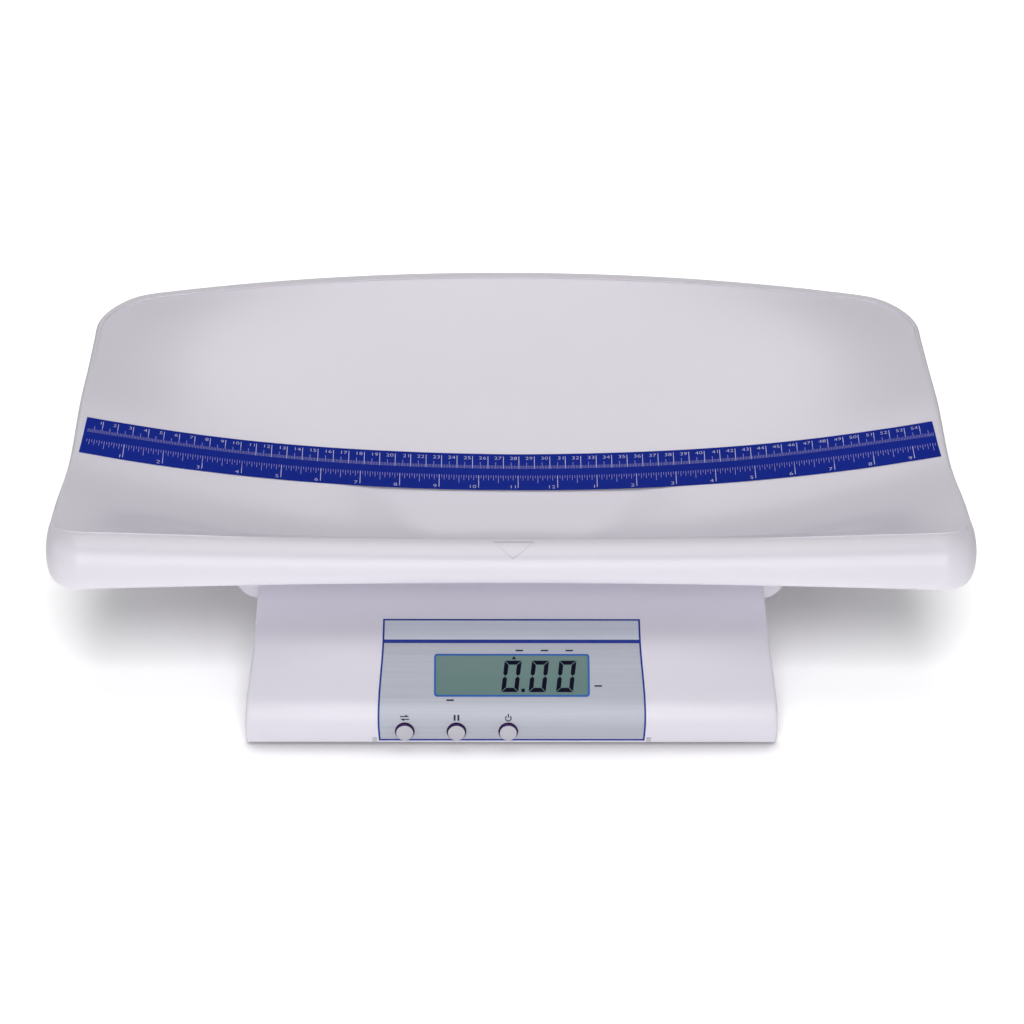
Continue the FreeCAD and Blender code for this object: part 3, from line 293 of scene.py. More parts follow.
half_skin = [skin_column(*place) for place in crest_places()]
other_half = [[Vector((-p.x, p.y, p.z)) for p in column] for column in reversed(half_skin[1:-1])]
skin = drawn_through(half_skin + other_half)
around, across = len(skin), len(skin[0])
under_skin = []
for k, column in enumerate(skin):
    along = [skin[(k + 1) % around][j] - skin[k - 1][j] for j in range(across)]
    outward = [column[min(j + 1, across - 1)] - column[max(j - 1, 0)] for j in range(across)]
    normals = [Vector((0, 0, 1))] + [outward[j].cross(along[j]).normalized() for j in range(1, across)]
    under_skin.append([point - normal * tray_wall for point, normal in zip(column, normals)])
cage = [tuple(point) for column in skin + under_skin for point in column]
low = around * across
faces = []
for k in range(around):
    after = (k + 1) % around
    for j in range(across - 1):
        a, b, c, d = k * across + j, after * across + j, after * across + j + 1, k * across + j + 1
        faces.append((a, d, c, b))
        faces.append((low + a, low + b, low + c, low + d))
    edge, next_edge = k * across + across - 1, after * across + across - 1
    faces.append((edge, low + edge, low + next_edge, next_edge))
faces.append([k * across for k in range(around)])
faces.append([low + k * across for k in reversed(range(around))])
tray = mesh_piece("bowl_tray", cage, faces, white_plastic)
rounding = tray.modifiers.new("rounding", "SUBSURF")
rounding.levels = rounding.render_levels = 2
faced_outwards(settled(tray))
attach(tray, "platform")
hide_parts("tray")


# A faint triangle moulded in the lip shows the tray's middle, its strokes drawn grey as painted
# shade of the moulded edges. Its flat outline is cast onto the lip along a slant, so that it keeps
# its straight sides.
def cut_across(bm, places):
    """Cut a flat shape at places along Y, so that it can follow a curve."""
    for place in places:
        bmesh.ops.bisect_plane(bm, geom=bm.verts[:] + bm.edges[:] + bm.faces[:], dist=1e-5,
                               plane_co=(0, place, 0), plane_no=(0, 1, 0))
    bm.verts.index_update()


lip_mark_painted_shade = grained("lip_mark_painted_shade", (0.60, 0.58, 0.65), (0.56, 0.54, 0.61), 0.4)
mark_outside = [(-11.6, -1.4), (13.6, -1.4), (0.4, -12.2)]
mark_inside = [(-10.6, -2.3), (12.2, -2.3), (0.4, -11.5)]
mark_lift = 0.06
mark_cuts = range(-1, -14, -1)            # one to a millimetre
cast_slant = math.radians(27)
cast_from = 0.2                         # metres before the lip
crest_middle = Vector((0, front_crest * MM + base_front, (bowl_floor + middle_line[0][1]) * MM))
upwards = Vector((0, math.sin(cast_slant), math.cos(cast_slant)))
inwards = Vector((0, math.cos(cast_slant), -math.sin(cast_slant)))
bm = bmesh.new()
corners = [bm.verts.new((x, y, 0)) for x, y in mark_outside + mark_inside]
for a, b in ((0, 1), (1, 2), (2, 0)):
    bm.faces.new((corners[a], corners[b], corners[b + 3], corners[a + 3]))
cut_across(bm, mark_cuts)
verts = []
for v in bm.verts:
    start = crest_middle + Vector((v.co.x * MM, 0, 0)) + upwards * v.co.y * MM - inwards * cast_from
    _, place, normal, _ = tray.ray_cast(start, inwards)
    place += normal * mark_lift * MM
    verts.append((place.x / MM, (place.y - base_front) / MM, place.z / MM))
lip_mark = mesh_piece("lip_mark", verts, [tuple(v.index for v in face.verts) for face in bm.faces], lip_mark_painted_shade)
bm.free()
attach(lip_mark, "platform")

# Moulded under the bowl: four bosses on the platform, two long ribs and one across. Their
# tops end inside the bowl's wall.
platform_top = 69.0
rib_half_span, rib_thick = 120.0, 2.5
rib_depths = (108.0, 130.0, 155.0, 180.0, 210.0, 240.0, 265.0, 288.0)
rib_foot_back = 244.0
in_wall, cross_in_wall = 1.5, 1.8
boss_depths = (117.0, 235.0)
boss_radius, boss_sides = 7.0, 24
verts, faces = [], []


def add_plate(outline, thickness):
    """Closed plate from an outline of points and a thickness vector."""
    start = len(verts)
    count = len(outline)
    verts.extend([tuple(Vector(p)) for p in outline] + [tuple(Vector(p) + thickness) for p in outline])
    faces.append([start + i for i in range(count)])
    faces.append([start + count + i for i in reversed(range(count))])
    for i in range(count):
        j = (i + 1) % count
        faces.append([start + j, start + i, start + count + i, start + count + j])


def add_boss(x, depth):
    """Round boss from the platform up into the bowl's wall."""
    start = len(verts)
    circle = [on_circle(x, depth, boss_radius, 360 / boss_sides * i) for i in range(boss_sides)]
    verts.extend([(px, py, platform_top) for px, py in circle])
    verts.extend([(px, py, bowl_height(px, py) - in_wall) for px, py in circle])
    faces.append([start + i for i in reversed(range(boss_sides))])
    faces.append([start + boss_sides + i for i in range(boss_sides)])
    for i in range(boss_sides):
        j = (i + 1) % boss_sides
        faces.append([start + i, start + j, start + boss_sides + j, start + boss_sides + i])


for side in (-1, 1):
    x = side * rib_half_span - rib_thick / 2
    outline = [(x, d, bowl_height(x, d) - in_wall) for d in rib_depths]
    add_plate([(x, rib_depths[0], platform_top)] + outline + [(x, rib_foot_back, platform_top)],
              Vector((rib_thick, 0, 0)))
depth = boss_depths[1]
outline = [(x, depth, bowl_height(x, depth) - cross_in_wall)
           for x in np.linspace(-rib_half_span, rib_half_span, 9)]
add_plate(outline + [(rib_half_span, depth, platform_top), (-rib_half_span, depth, platform_top)],
          Vector((0, rib_thick, 0)))
for side in (-1, 1):
    for depth in boss_depths:
        add_boss(side * rib_half_span, depth)
tray_ribs = mesh_piece("tray_ribs", verts, faces, white_plastic, smooth_shade=False)
faced_outwards(tray_ribs)
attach(tray_ribs, "platform")


# ------------------------------------------------------------------ base housing and platform
# The housing is a thin ABS shell with a sloping front, screwed over a flat bottom cover.
# The platform, an upside-down trough above it, carries the tray.
def dressed_copy(node, name, material, body, angle=30.0):
    """A copy of a CAD part with its loose triangles joined, shaded smooth over its curves."""
    mesh = nodes[node].data.copy()
    mesh.materials.clear()
    mesh.materials.append(material)
    bm = bmesh.new()
    bm.from_mesh(mesh)
    bmesh.ops.remove_doubles(bm, verts=bm.verts, dist=1e-6)
    for face in bm.faces:
        face.smooth = True
    for edge in bm.edges:
        edge.smooth = len(edge.link_faces) == 2 and edge.calc_face_angle(0) < math.radians(angle)
    bm.to_mesh(mesh)
    bm.free()
    piece = bpy.data.objects.new(name, mesh)
    bpy.context.scene.collection.objects.link(piece)
    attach(piece, body)
    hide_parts(node)
    return piece


dressed_copy("top_housing", "housing", housing_plastic, "base")
dressed_copy("tray_support", "platform_trough", white_plastic, "platform")
dressed_copy("bottom_cover", "cover", housing_plastic, "base")
dressed_copy("battery_door", "door", housing_plastic, "battery_door")


# ------------------------------------------------------------------ measuring tape
# A printed film is laid across the bowl from rim to rim, in a shallow arc. Centimetres run
# along its far edge and inches along its near one, both counted from the left end.
tape_half_span, tape_width = 271.5, 28.1
tape_depth, tape_bow, tape_curve = 187.2, 33.0, 2.15
tape_skew, tape_flare = 0.004, 0.1
tape_lean, corner_lean, corner_power = 0.02, 0.08, 15
film_under, film_top, print_lift = 0.2, 0.55, 0.7     # over the bowl


def on_bowl(x, depth, lift):
    """Point a little way over the bowl's surface."""
    run = 0.5
    slope_x = (bowl_height(x + run, depth) - bowl_height(x - run, depth)) / (2 * run)
    slope_y = (bowl_height(x, depth + run) - bowl_height(x, depth - run)) / (2 * run)
    return Vector((x, depth, bowl_height(x, depth))) + Vector((-slope_x, -slope_y, 1)).normalized() * lift


half_steps = 272
tape_line = []
for i in range(-half_steps, half_steps + 1):
    x = tape_half_span * i / half_steps
    depth = tape_depth - tape_skew * x - tape_bow * (abs(x) / tape_half_span)**tape_curve
    tape_line.append(on_bowl(x, depth, 0))
tape_run = [0.0]
for a, b in zip(tape_line, tape_line[1:]):
    tape_run.append(tape_run[-1] + (b - a).length)
tape_length = tape_run[-1]


def tape_place(along, across, lift):
    """Point on the tape from its left end and its middle line. Its ends are cut at a slant."""
    share = np.interp(along, tape_run, range(len(tape_run)))
    k = min(int(share), len(tape_line) - 2)
    point = tape_line[k].lerp(tape_line[k + 1], share - k)
    slope = bowl_height(point.x, point.y + 0.5) - bowl_height(point.x, point.y - 0.5)
    level = across * (1 + tape_flare * abs(point.x) / tape_half_span) / math.sqrt(1 + slope**2)
    end_share = point.x / tape_half_span
    lean = -tape_lean * end_share - corner_lean * end_share**corner_power
    return on_bowl(point.x + lean * level, point.y + level, lift)


def tape_piece(name, verts, faces, material, lift):
    """Piece laid on the tape from flat points (along, across)."""
    piece = mesh_piece(name, [tape_place(along, across, lift) for along, across in verts], faces, material)
    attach(piece, "platform")
    return piece


tape_blue = grained("tape_blue", (0.010, 0.029, 0.34), (0.008, 0.024, 0.30), 0.5, scale=900.0, shine=0.03)
columns = 272
stations = (-1.0, -0.5, 0.0, 0.5, 1.0)
high = len(stations)
low = (columns + 1) * high
verts, faces = [], []
for lift in (film_top, film_under):
    verts += [(tape_length * i / columns, tape_width / 2 * share, lift)
              for i in range(columns + 1) for share in stations]
for i in range(columns):
    for j in range(high - 1):
        a, b = i * high + j, (i + 1) * high + j
        faces += [(a, b, b + 1, a + 1), (low + a, low + a + 1, low + b + 1, low + b)]
rim = [i * high for i in range(columns + 1)] + [columns * high + j for j in range(1, high)]
rim += [i * high + high - 1 for i in range(columns - 1, -1, -1)] + list(range(high - 2, 0, -1))
faces += [(a, low + a, low + b, b) for a, b in zip(rim, rim[1:] + rim[:1])]
tape = mesh_piece("tape_film", [tape_place(*place) for place in verts], faces, tape_blue, smooth_shade=False)
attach(tape, "platform")
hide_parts("measuring_tape")


def tick_group():
    """Geometry Nodes: a row of equal upright ticks."""
    group = bpy.data.node_groups.new("tick_row", "GeometryNodeTree")
    group.interface.new_socket("Count", in_out="INPUT", socket_type="NodeSocketInt")
    for name in ("Spacing", "Width", "Length"):
        group.interface.new_socket(name, in_out="INPUT", socket_type="NodeSocketFloat")
    group.interface.new_socket("Ink", in_out="INPUT", socket_type="NodeSocketMaterial")
    group.interface.new_socket("Geometry", in_out="OUTPUT", socket_type="NodeSocketGeometry")
    start = group.nodes.new("NodeGroupInput")
    end = group.nodes.new("NodeGroupOutput")
    step = group.nodes.new("ShaderNodeCombineXYZ")
    line = group.nodes.new("GeometryNodeMeshLine")
    tick = group.nodes.new("GeometryNodeMeshGrid")
    tick.inputs["Vertices X"].default_value = 2
    tick.inputs["Vertices Y"].default_value = 4
    spread = group.nodes.new("GeometryNodeInstanceOnPoints")
    real = group.nodes.new("GeometryNodeRealizeInstances")
    inked = group.nodes.new("GeometryNodeSetMaterial")
    links = group.links
    links.new(start.outputs["Spacing"], step.inputs["X"])
    links.new(start.outputs["Count"], line.inputs["Count"])
    links.new(step.outputs["Vector"], line.inputs["Offset"])
    links.new(start.outputs["Width"], tick.inputs["Size X"])
    links.new(start.outputs["Length"], tick.inputs["Size Y"])
    links.new(line.outputs["Mesh"], spread.inputs["Points"])
    links.new(tick.outputs["Mesh"], spread.inputs["Instance"])
    links.new(spread.outputs["Instances"], real.inputs["Geometry"])
    links.new(real.outputs["Geometry"], inked.inputs["Geometry"])
    links.new(start.outputs["Ink"], inked.inputs["Material"])
    links.new(inked.outputs["Geometry"], end.inputs["Geometry"])
    return group


tick_rows = tick_group()
tick_white = grained("tick_white", (0.66, 0.66, 0.88), (0.60, 0.60, 0.84), 0.5)
tick_lavender = grained("tick_lavender", (0.36, 0.33, 0.70), (0.32, 0.29, 0.64), 0.5)
tick_faint = grained("tick_faint", (0.19, 0.18, 0.48), (0.17, 0.16, 0.44), 0.5)
# The film was stretched a hundredth as it was laid.
tape_start, tape_centimetre = 1.4, 10.115
inch = tape_centimetre * 2.54
inch_top = 16.6
# (name, count, spacing, tick width, tick length, distance of its top from the far edge, ink)
rows = [("millimetres", 548, tape_centimetre / 10, 0.42, 2.4, 8.9, tick_faint),
        ("half_centimetres", 109, tape_centimetre / 2, 0.34, 4.8, 6.5, tick_lavender),
        ("centimetres", 54, tape_centimetre, 0.4, 9.4, 1.9, tick_white),
        ("sixteenths", 345, inch / 16, 0.28, 2.2, inch_top, tick_lavender),
        ("eighths", 173, inch / 8, 0.32, 4.0, inch_top, tick_lavender),
        ("halves", 43, inch / 2, 0.34, 6.1, inch_top, tick_lavender),
        ("inches", 21, inch, 0.4, 10.0, inch_top, tick_white)]
for name, count, spacing, width, length, top, ink in rows:
    row = bpy.data.objects.new(name + "_row", bpy.data.meshes.new(name))
    bpy.context.scene.collection.objects.link(row)
    maker = row.modifiers.new("ticks", "NODES")
    maker.node_group = tick_rows
    values = {"Count": count, "Spacing": spacing, "Width": width, "Length": length, "Ink": ink}
    for item in tick_rows.interface.items_tree:
        if item.in_out == "INPUT":
            maker[item.identifier] = values[item.name]
    settled(row)
    middle = tape_width / 2 - top - length / 2
    places = [(tape_start + spacing + v.co.x, middle + v.co.y) for v in row.data.vertices]
    faces = [tuple(polygon.vertices) for polygon in row.data.polygons]
    bpy.data.objects.remove(row)
    tape_piece("tape_" + name, places, faces, ink, print_lift)


stroke_swell = -0.045                   # thins the strokes of the numbers
number_stretch = 1.5


def letters(text, size):
    """Flat mesh of a number, its lower left corner at the origin: points and faces."""
    curve = bpy.data.curves.new("number", "FONT")
    curve.body = text
    curve.size = size
    curve.resolution_u = 3
    curve.offset = stroke_swell
    item = bpy.data.objects.new("number", curve)
    bpy.context.scene.collection.objects.link(item)
    bpy.context.view_layer.update()
    mesh = bpy.data.meshes.new_from_object(item.evaluated_get(bpy.context.evaluated_depsgraph_get()))
    bpy.data.objects.remove(item)
    left = min(v.co.x for v in mesh.vertices)
    points = [((v.co.x - left) * number_stretch, v.co.y) for v in mesh.vertices]
    return points, [tuple(polygon.vertices) for polygon in mesh.polygons]


# Numbers stand left of their ticks, the far row near the tape's far edge and the near row
# near its near edge. The inches count to twelve and start again.
# (text, its right edge, the level that it hangs from or stands on, size, whether it hangs)
numbers = [(str(k), tape_start + tape_centimetre * k - 1.2, tape_width / 2 - 2.1, 3.4, True)
           for k in range(1, 55)]
numbers += [(str((k - 1) % 12 + 1), tape_start + inch * k - 1.6, -tape_width / 2 + 1.1, 3.6, False)
            for k in range(1, 22)]
verts, faces = [], []
for text, right, level, size, hangs in numbers:
    shape, parts = letters(text, size)
    wide, tall = (max(point[axis] for point in shape) for axis in (0, 1))
    base = level - tall if hangs else level
    start = len(verts)
    verts += [(right - wide + x, base + y) for x, y in shape]
    faces += [tuple(start + i for i in part) for part in parts]
tape_piece("tape_numbers", verts, faces, tick_white, print_lift)


# ------------------------------------------------------------------ front panel
# The panel is a polycarbonate film stuck in a shallow bed on the sloping front: white at its
# edge, with a brushed silver ground printed inside a blue line and a strip along its top drawn
# paler: painted light against the shade that the tray casts there.
front_foot = 5.0                        # the front's lower edge over the floor
toe_height, toe_radius, slope_radius = 7.0, 28.0, 190.0
toe_turn = math.radians(45.0)
toe_centre = Vector((toe_radius, front_foot + toe_height))
slope_centre = toe_centre + Vector((math.cos(toe_turn), -math.sin(toe_turn))) * (slope_radius - toe_radius)
# Half the printed ground's width at heights along the front, with slopes.
panel_sides = [(1.1, 80.95, 0.1), (13.0, 81.65, 0.02), (27.0, 81.4, -0.04), (65.2, 79.25, -0.02),
               (80.9, 79.1, 0.0)]
button_places = {"unit_button": -65.2, "hold_button": -33.7, "power_button": -2.2}
button_along, button_hole = 7.4, 6.05
window_half, window_low, window_high = 46.9, 29.7, 56.2
header, header_half, header_line = 65.2, 79.0, 1.2
print_step = 1.5
film_out = 0.24                         # the printed ground over the front's profile
# The inks lie a few hundredths over the ground that they are printed on.
segment_ink, outline_ink, mark_ink, frame_ink = (film_out + layer for layer in (0.02, 0.03, 0.04, 0.05))


def front_place(x, along, out):
    """Point at x, a way up the front's profile and a little way out from it."""
    if along <= toe_height:
        return Vector((x, -out, front_foot + along))
    along -= toe_height
    if along <= toe_radius * toe_turn:
        centre, radius, angle = toe_centre, toe_radius, along / toe_radius
    else:
        centre, radius = slope_centre, slope_radius
        angle = toe_turn + (along - toe_radius * toe_turn) / slope_radius
    reach = radius + out
    return Vector((x, centre.x - math.cos(angle) * reach, centre.y + math.sin(angle) * reach))


def printed(name, loops, material, out):
    """Flat print on the panel inside closed loops of (x, along); an inner loop is a hole."""
    flat = [[Vector((x, s, 0)) for x, s in loop] for loop in loops]
    points = [point for loop in flat for point in loop]
    bm = bmesh.new()
    corners = [bm.verts.new(point) for point in points]
    for triangle in tessellate_polygon(flat):
        bm.faces.new([corners[i] for i in triangle])
    low, high = min(p.y for p in points), max(p.y for p in points)
    steps = int((high - low) / print_step)
    cut_across(bm, [low + (high - low) * i / steps for i in range(1, steps)])
    bmesh.ops.recalc_face_normals(bm, faces=bm.faces)
    verts = [front_place(v.co.x, v.co.y, out) for v in bm.verts]
    faces = [tuple(v.index for v in face.verts) for face in bm.faces]
    bm.free()
    piece = mesh_piece(name, verts, faces, material)
    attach(piece, "base")
    return piece


def ring(x, s, radius, count=40):
    """Loop of points round a circle."""
    return [on_circle(x, s, radius, 360 * i / count) for i in range(count)]


def bar(x, s, half_width, half_height):
    """Rectangle about its middle."""
    return [(x - half_width, s - half_height), (x + half_width, s - half_height),
            (x + half_width, s + half_height), (x - half_width, s + half_height)]


def rounded_box(x0, x1, s0, s1, radius):
    """Rectangle with round corners."""
    loop = []
    for cx, cs, turn in ((x1 - radius, s0 + radius, -90), (x1 - radius, s1 - radius, 0),
                         (x0 + radius, s1 - radius, 90), (x0 + radius, s0 + radius, 180)):
        loop += [on_circle(cx, cs, radius, turn + step) for step in (0, 22.5, 45, 67.5, 90)]
    return loop


def window_loop(grow, radius):
    """The window's outline, grown on every side."""
    return rounded_box(-window_half - grow, window_half + grow, window_low - grow, window_high + grow, radius)


def panel_loop(inset):
    """The panel's printed outline, with sides that spread a little towards its foot."""
    low, high = panel_sides[0][0] + inset, panel_sides[-1][0] - inset
    heights = [low + (high - low) * i / 40 for i in range(41)]
    right = [(smooth(panel_sides, s) - inset, s) for s in heights]
    return right + [(-x, s) for x, s in reversed(right)]


def dress(node, material):
    """Give a CAD part its material."""
    nodes[node].data.materials.clear()
    nodes[node].data.materials.append(material)


def brushed(name, light, dark, roughness, metallic):
    """Silver ground with fine streaks along X."""
    material, tree, shader = new_material(name)
    place = tree.nodes.new("ShaderNodeTexCoord")
    stretch = tree.nodes.new("ShaderNodeMapping")
    stretch.inputs["Scale"].default_value = (6.0, 700.0, 700.0)
    streaks = tree.nodes.new("ShaderNodeTexNoise")
    streaks.inputs["Scale"].default_value = 1.0
    streaks.inputs["Detail"].default_value = 4.0
    tone = two_tone(tree, light, dark)
    surface = relief(tree, 0.05)
    links = tree.links
    links.new(place.outputs["Object"], stretch.inputs["Vector"])
    links.new(stretch.outputs["Vector"], streaks.inputs["Vector"])
    links.new(streaks.outputs["Fac"], tone.inputs["Fac"])
    links.new(streaks.outputs["Fac"], surface.inputs["Height"])
    links.new(tone.outputs["Color"], shader.inputs["Base Color"])
    links.new(surface.outputs["Normal"], shader.inputs["Normal"])
    shader.inputs["Roughness"].default_value = roughness
    shader.inputs["Metallic"].default_value = metallic
    return material


film_white = grained("film_white", (0.80, 0.80, 0.86), (0.78, 0.78, 0.84), 0.3)
silver = brushed("silver_ground", (0.475, 0.49, 0.56), (0.43, 0.445, 0.515), 0.42, 0.1)
silver_painted_light = brushed("silver_painted_light", (0.64, 0.68, 0.765), (0.59, 0.63, 0.715), 0.42, 0.1)
line_blue = grained("line_blue", (0.022, 0.045, 0.33), (0.018, 0.036, 0.28), 0.4, shine=0.15)
frame_blue = grained("frame_blue", (0.035, 0.14, 0.50), (0.03, 0.12, 0.45), 0.4, shine=0.15)
dress("fascia_label", film_white)
holes = [ring(x, button_along, button_hole) for x in button_places.values()]
edge_loop = panel_loop(0.5)
ground = [(x, min(s, header)) for x, s in edge_loop]
strip = [(x, max(s, header)) for x, s in edge_loop if s > header - header_line]
printed("panel_ground", [ground, window_loop(0.0, 1.6)] + holes, silver, film_out)
# The top strip is drawn paler than the ground: painted light against the tray's shade.
printed("panel_header_ground", [strip], silver_painted_light, film_out)
printed("panel_outline", [panel_loop(0.0), panel_loop(1.15)], line_blue, outline_ink)
printed("panel_header_line", [bar(0.0, header, header_half, header_line)], line_blue, mark_ink)
printed("window_frame", [window_loop(0.6, 2.0), window_loop(-0.6, 1.2)], frame_blue, frame_ink)


# Plain symbols over the buttons: two arrows to change units, two bars to hold, a switch sign.
def arrow(x, s, way):
    """Arrow along X with half a head. Its way is 1 to the right and -1 to the left."""
    return [(x, s + 0.65 * way), (x + 3.2 * way, s + 0.65 * way), (x + 3.2 * way, s + 1.6 * way),
            (x + 5.6 * way, s), (x, s)]


mark_dark = grained("mark_dark", (0.030, 0.028, 0.07), (0.022, 0.020, 0.055), 0.5, shine=0.1)
mark_along = 16.3
unit_x, hold_x, power_x = button_places.values()
sign_along, sign_outside, sign_inside = mark_along - 0.2, 2.0, 1.35
opening = [on_circle(power_x, sign_along, sign_outside, turn) for turn in range(130, 411, 10)]
opening += [on_circle(power_x, sign_along, sign_inside, turn) for turn in range(410, 129, -10)]
marks = [("mark_units_a", arrow(unit_x - 2.8, mark_along + 0.5, 1)),
         ("mark_units_b", arrow(unit_x + 2.8, mark_along - 0.5, -1)),
         ("mark_hold_b", bar(hold_x - 1.15, mark_along, 0.6, 1.8)),
         ("mark_hold_a", bar(hold_x + 1.15, mark_along, 0.6, 1.8)),
         ("mark_power_ring", opening),
         ("mark_power_bar", bar(power_x, mark_along + 1.3, 0.36, 1.2))]
# Small index dashes beside the window, where the readout's pointers stand.
index_places = ((4.6, 59.0), (20.0, 59.0), (35.2, 59.0), (52.6, 36.0), (-37.6, 27.0))
marks += [("mark_index_%d" % k, bar(x, s, 2.3, 0.5)) for k, (x, s) in enumerate(index_places)]
for name, loop in marks:
    printed(name, [loop], mark_dark, mark_ink)


# ------------------------------------------------------------------ display
# A reflective segment display under a clear window: grey-green ground, dark slanted digits
# and a small pointer over the first one.
window_green = grained("display_green", (0.15, 0.25, 0.24), (0.142, 0.24, 0.23), 0.25, spread=0.02, shine=0.2)
segment_dark = grained("segment_dark", (0.010, 0.009, 0.026), (0.007, 0.006, 0.020), 0.5, shine=0.0)
digit_places = (-6.6, 10.1, 26.8)
digit_low, digit_tall, digit_wide, segment = 32.1, 20.2, 10.4, 2.65
digit_slant = math.tan(math.radians(6.5))
point_half = 1.05
gap = 0.3


def segments(x0, lit):
    """Loops of a slanted seven-segment digit whose lower left corner is at x0."""
    w, h, t = digit_wide, digit_tall, segment
    half = h / 2
    shapes = {"a": [(gap, h), (w - gap, h), (w - t - gap, h - t), (t + gap, h - t)],
              "d": [(gap, 0), (t + gap, t), (w - t - gap, t), (w - gap, 0)],
              "f": [(0, h - gap), (t, h - t - gap), (t, half + t / 2 + gap / 2),
                    (t / 2, half + gap / 2), (0, half + t / 2 + gap / 2)],
              "b": [(w, h - gap), (w, half + t / 2 + gap / 2), (w - t / 2, half + gap / 2),
                    (w - t, half + t / 2 + gap / 2), (w - t, h - t - gap)],
              "e": [(0, gap), (0, half - t / 2 - gap / 2), (t / 2, half - gap / 2),
                    (t, half - t / 2 - gap / 2), (t, t + gap)],
              "c": [(w, gap), (w - t, t + gap), (w - t, half - t / 2 - gap / 2),
                    (w - t / 2, half - gap / 2), (w, half - t / 2 - gap / 2)]}
    return [[(x0 + x + s * digit_slant, digit_low + s) for x, s in shapes[name]] for name in lit]


dress("display_window", window_green)
shown = [loop for x0 in digit_places for loop in segments(x0, "abcdef")]
shown.append(bar(digit_places[0] + digit_wide + 3.0, digit_low + 1.1, point_half, point_half))
shown.append([(0.0, 53.2), (2.6, 53.2), (1.3, 55.4)])
for k, loop in enumerate(shown):
    printed("segment_%d" % k, [loop], segment_dark, segment_ink)


# ------------------------------------------------------------------ buttons and lugs
# Three domed silver caps stand in round holes along the foot of the panel, moulded and painted;
# their sides are drawn dark violet as painted shade of the gap round each cap. Two small grey lugs
# hold the panel's lower corners.
cap_silver = grained("cap_silver", (0.54, 0.53, 0.58), (0.51, 0.50, 0.55), 0.24, metallic=0.1, coat=0.3)
cap_side_painted_shade = grained("cap_side_painted_shade", (0.095, 0.042, 0.20), (0.08, 0.034, 0.17), 0.35, shine=0.2)
lug_grey = grained("lug_grey", (0.58, 0.57, 0.62), (0.53, 0.52, 0.57), 0.4)
cap_behind = base_front - 1 * MM
for name in button_places:
    cap = dressed_copy(name, name + "_cap", cap_silver, name)
    cap.data.materials.append(cap_side_painted_shade)
    # The cap's sides take the dark violet: painted shade of the gap round the cap.
    for face in cap.data.polygons:
        face.material_index = 0 if face.normal.y < -0.9 and face.center.y < cap_behind else 1
    soft = cap.modifiers.new("soft_edges", "BEVEL")
    soft.width = 0.4 * MM
    soft.segments = 3
    soft.angle_limit = math.radians(40)
dress("fascia_clips", lug_grey)


# ------------------------------------------------------------------ weighing frame
# The tray's platform stands on an aluminium beam, bolted over turned spacers between a pressed
# steel plate in the base and a bracket with posts. Brass stops end its travel.
plated = grained("plated_steel", (0.58, 0.58, 0.60), (0.50, 0.50, 0.52), 0.34, spread=0.08, metallic=1.0)
aluminium = grained("aluminium", (0.72, 0.73, 0.75), (0.66, 0.67, 0.69), 0.4, spread=0.08, metallic=1.0)
brass = grained("brass", (0.66, 0.50, 0.22), (0.58, 0.43, 0.18), 0.35, metallic=1.0)
for name in ("base_plate", "cell_base_bolts", "cell_platform_bolts", "platform_bracket", "post_bolts"):
    dress(name, plated)
for name in ("cell_base_spacer", "cell_platform_spacer", "load_cell", "platform_posts"):
    dress(name, aluminium)
dress("overload_stops", brass)


# ------------------------------------------------------------------ feet and screws
# Moulded rubber feet are pushed into the cover by their studs. Plated steel screws hold the
# cover, the base plate and the tray.
rubber = grained("rubber", (0.035, 0.035, 0.037), (0.025, 0.025, 0.027), 0.75, bump=0.15)
dress("rubber_feet", rubber)
for name in ("cover_screws", "plate_screws", "tray_screws"):
    dress(name, plated)


# ------------------------------------------------------------------ boards
# Glass-epoxy boards carry black moulded parts, and the main one stands on brass standoffs. The
# display's glass sits in a black holder, and grey rubber strips lie behind the button caps.
black_plastic = grained("black_plastic", (0.032, 0.032, 0.034), (0.022, 0.022, 0.024), 0.45)
board_green = grained("board_green", (0.020, 0.13, 0.055), (0.014, 0.10, 0.040), 0.35, coat=0.3)
glass_grey = grained("glass_grey", (0.30, 0.36, 0.34), (0.27, 0.33, 0.31), 0.12, coat=0.5)
strip_grey = grained("strip_grey", (0.30, 0.24, 0.24), (0.22, 0.18, 0.18), 0.6)
for name in ("button_board", "display_board", "main_board"):
    dress(name, board_green)
for name in ("board_components", "display_holder", "power_jack", "tact_switches"):
    dress(name, black_plastic)
dress("board_screws", plated)
dress("board_standoffs", brass)
dress("lcd_glass", glass_grey)
dress("contact_strips", strip_grey)


# ------------------------------------------------------------------ batteries
# Six wrapped cells lie in a moulded black box above the door in the underside, between
# spring contacts of plated steel.
cell_wrap = grained("cell_wrap", (0.05, 0.16, 0.10), (0.035, 0.12, 0.075), 0.3, coat=0.4)
dress("aa_cells", cell_wrap)
dress("battery_box", black_plastic)
dress("battery_contacts", plated)


# ------------------------------------------------------------------ floor, lights and camera
# A pale floor with painted shade close in front of the base, a white surround and soft lamps:
# a wide one in front, and weaker ones behind, above and at the left.
floor_half = 6.0
floor_mesh = bpy.data.meshes.new("floor")
floor_corners = [(-floor_half, -floor_half, 0), (floor_half, -floor_half, 0),
                 (floor_half, floor_half, 0), (-floor_half, floor_half, 0)]
floor_mesh.from_pydata(floor_corners, [], [(0, 1, 2, 3)])
floor = bpy.data.objects.new("floor", floor_mesh)
bpy.context.scene.collection.objects.link(floor)
floor_tone, painted_shade_tone = (0.92, 0.92, 0.92), (0.50, 0.48, 0.51)
shade_reach = 0.032
shade_start, shade_full = -0.150, -0.166
floor_white, tree, shader = new_material("floor_white")
links = tree.links
shader.inputs["Roughness"].default_value = 1.0
shader.inputs["Specular IOR Level"].default_value = 0.0
shader.inputs["Emission Color"].default_value = (1, 1, 1, 1)
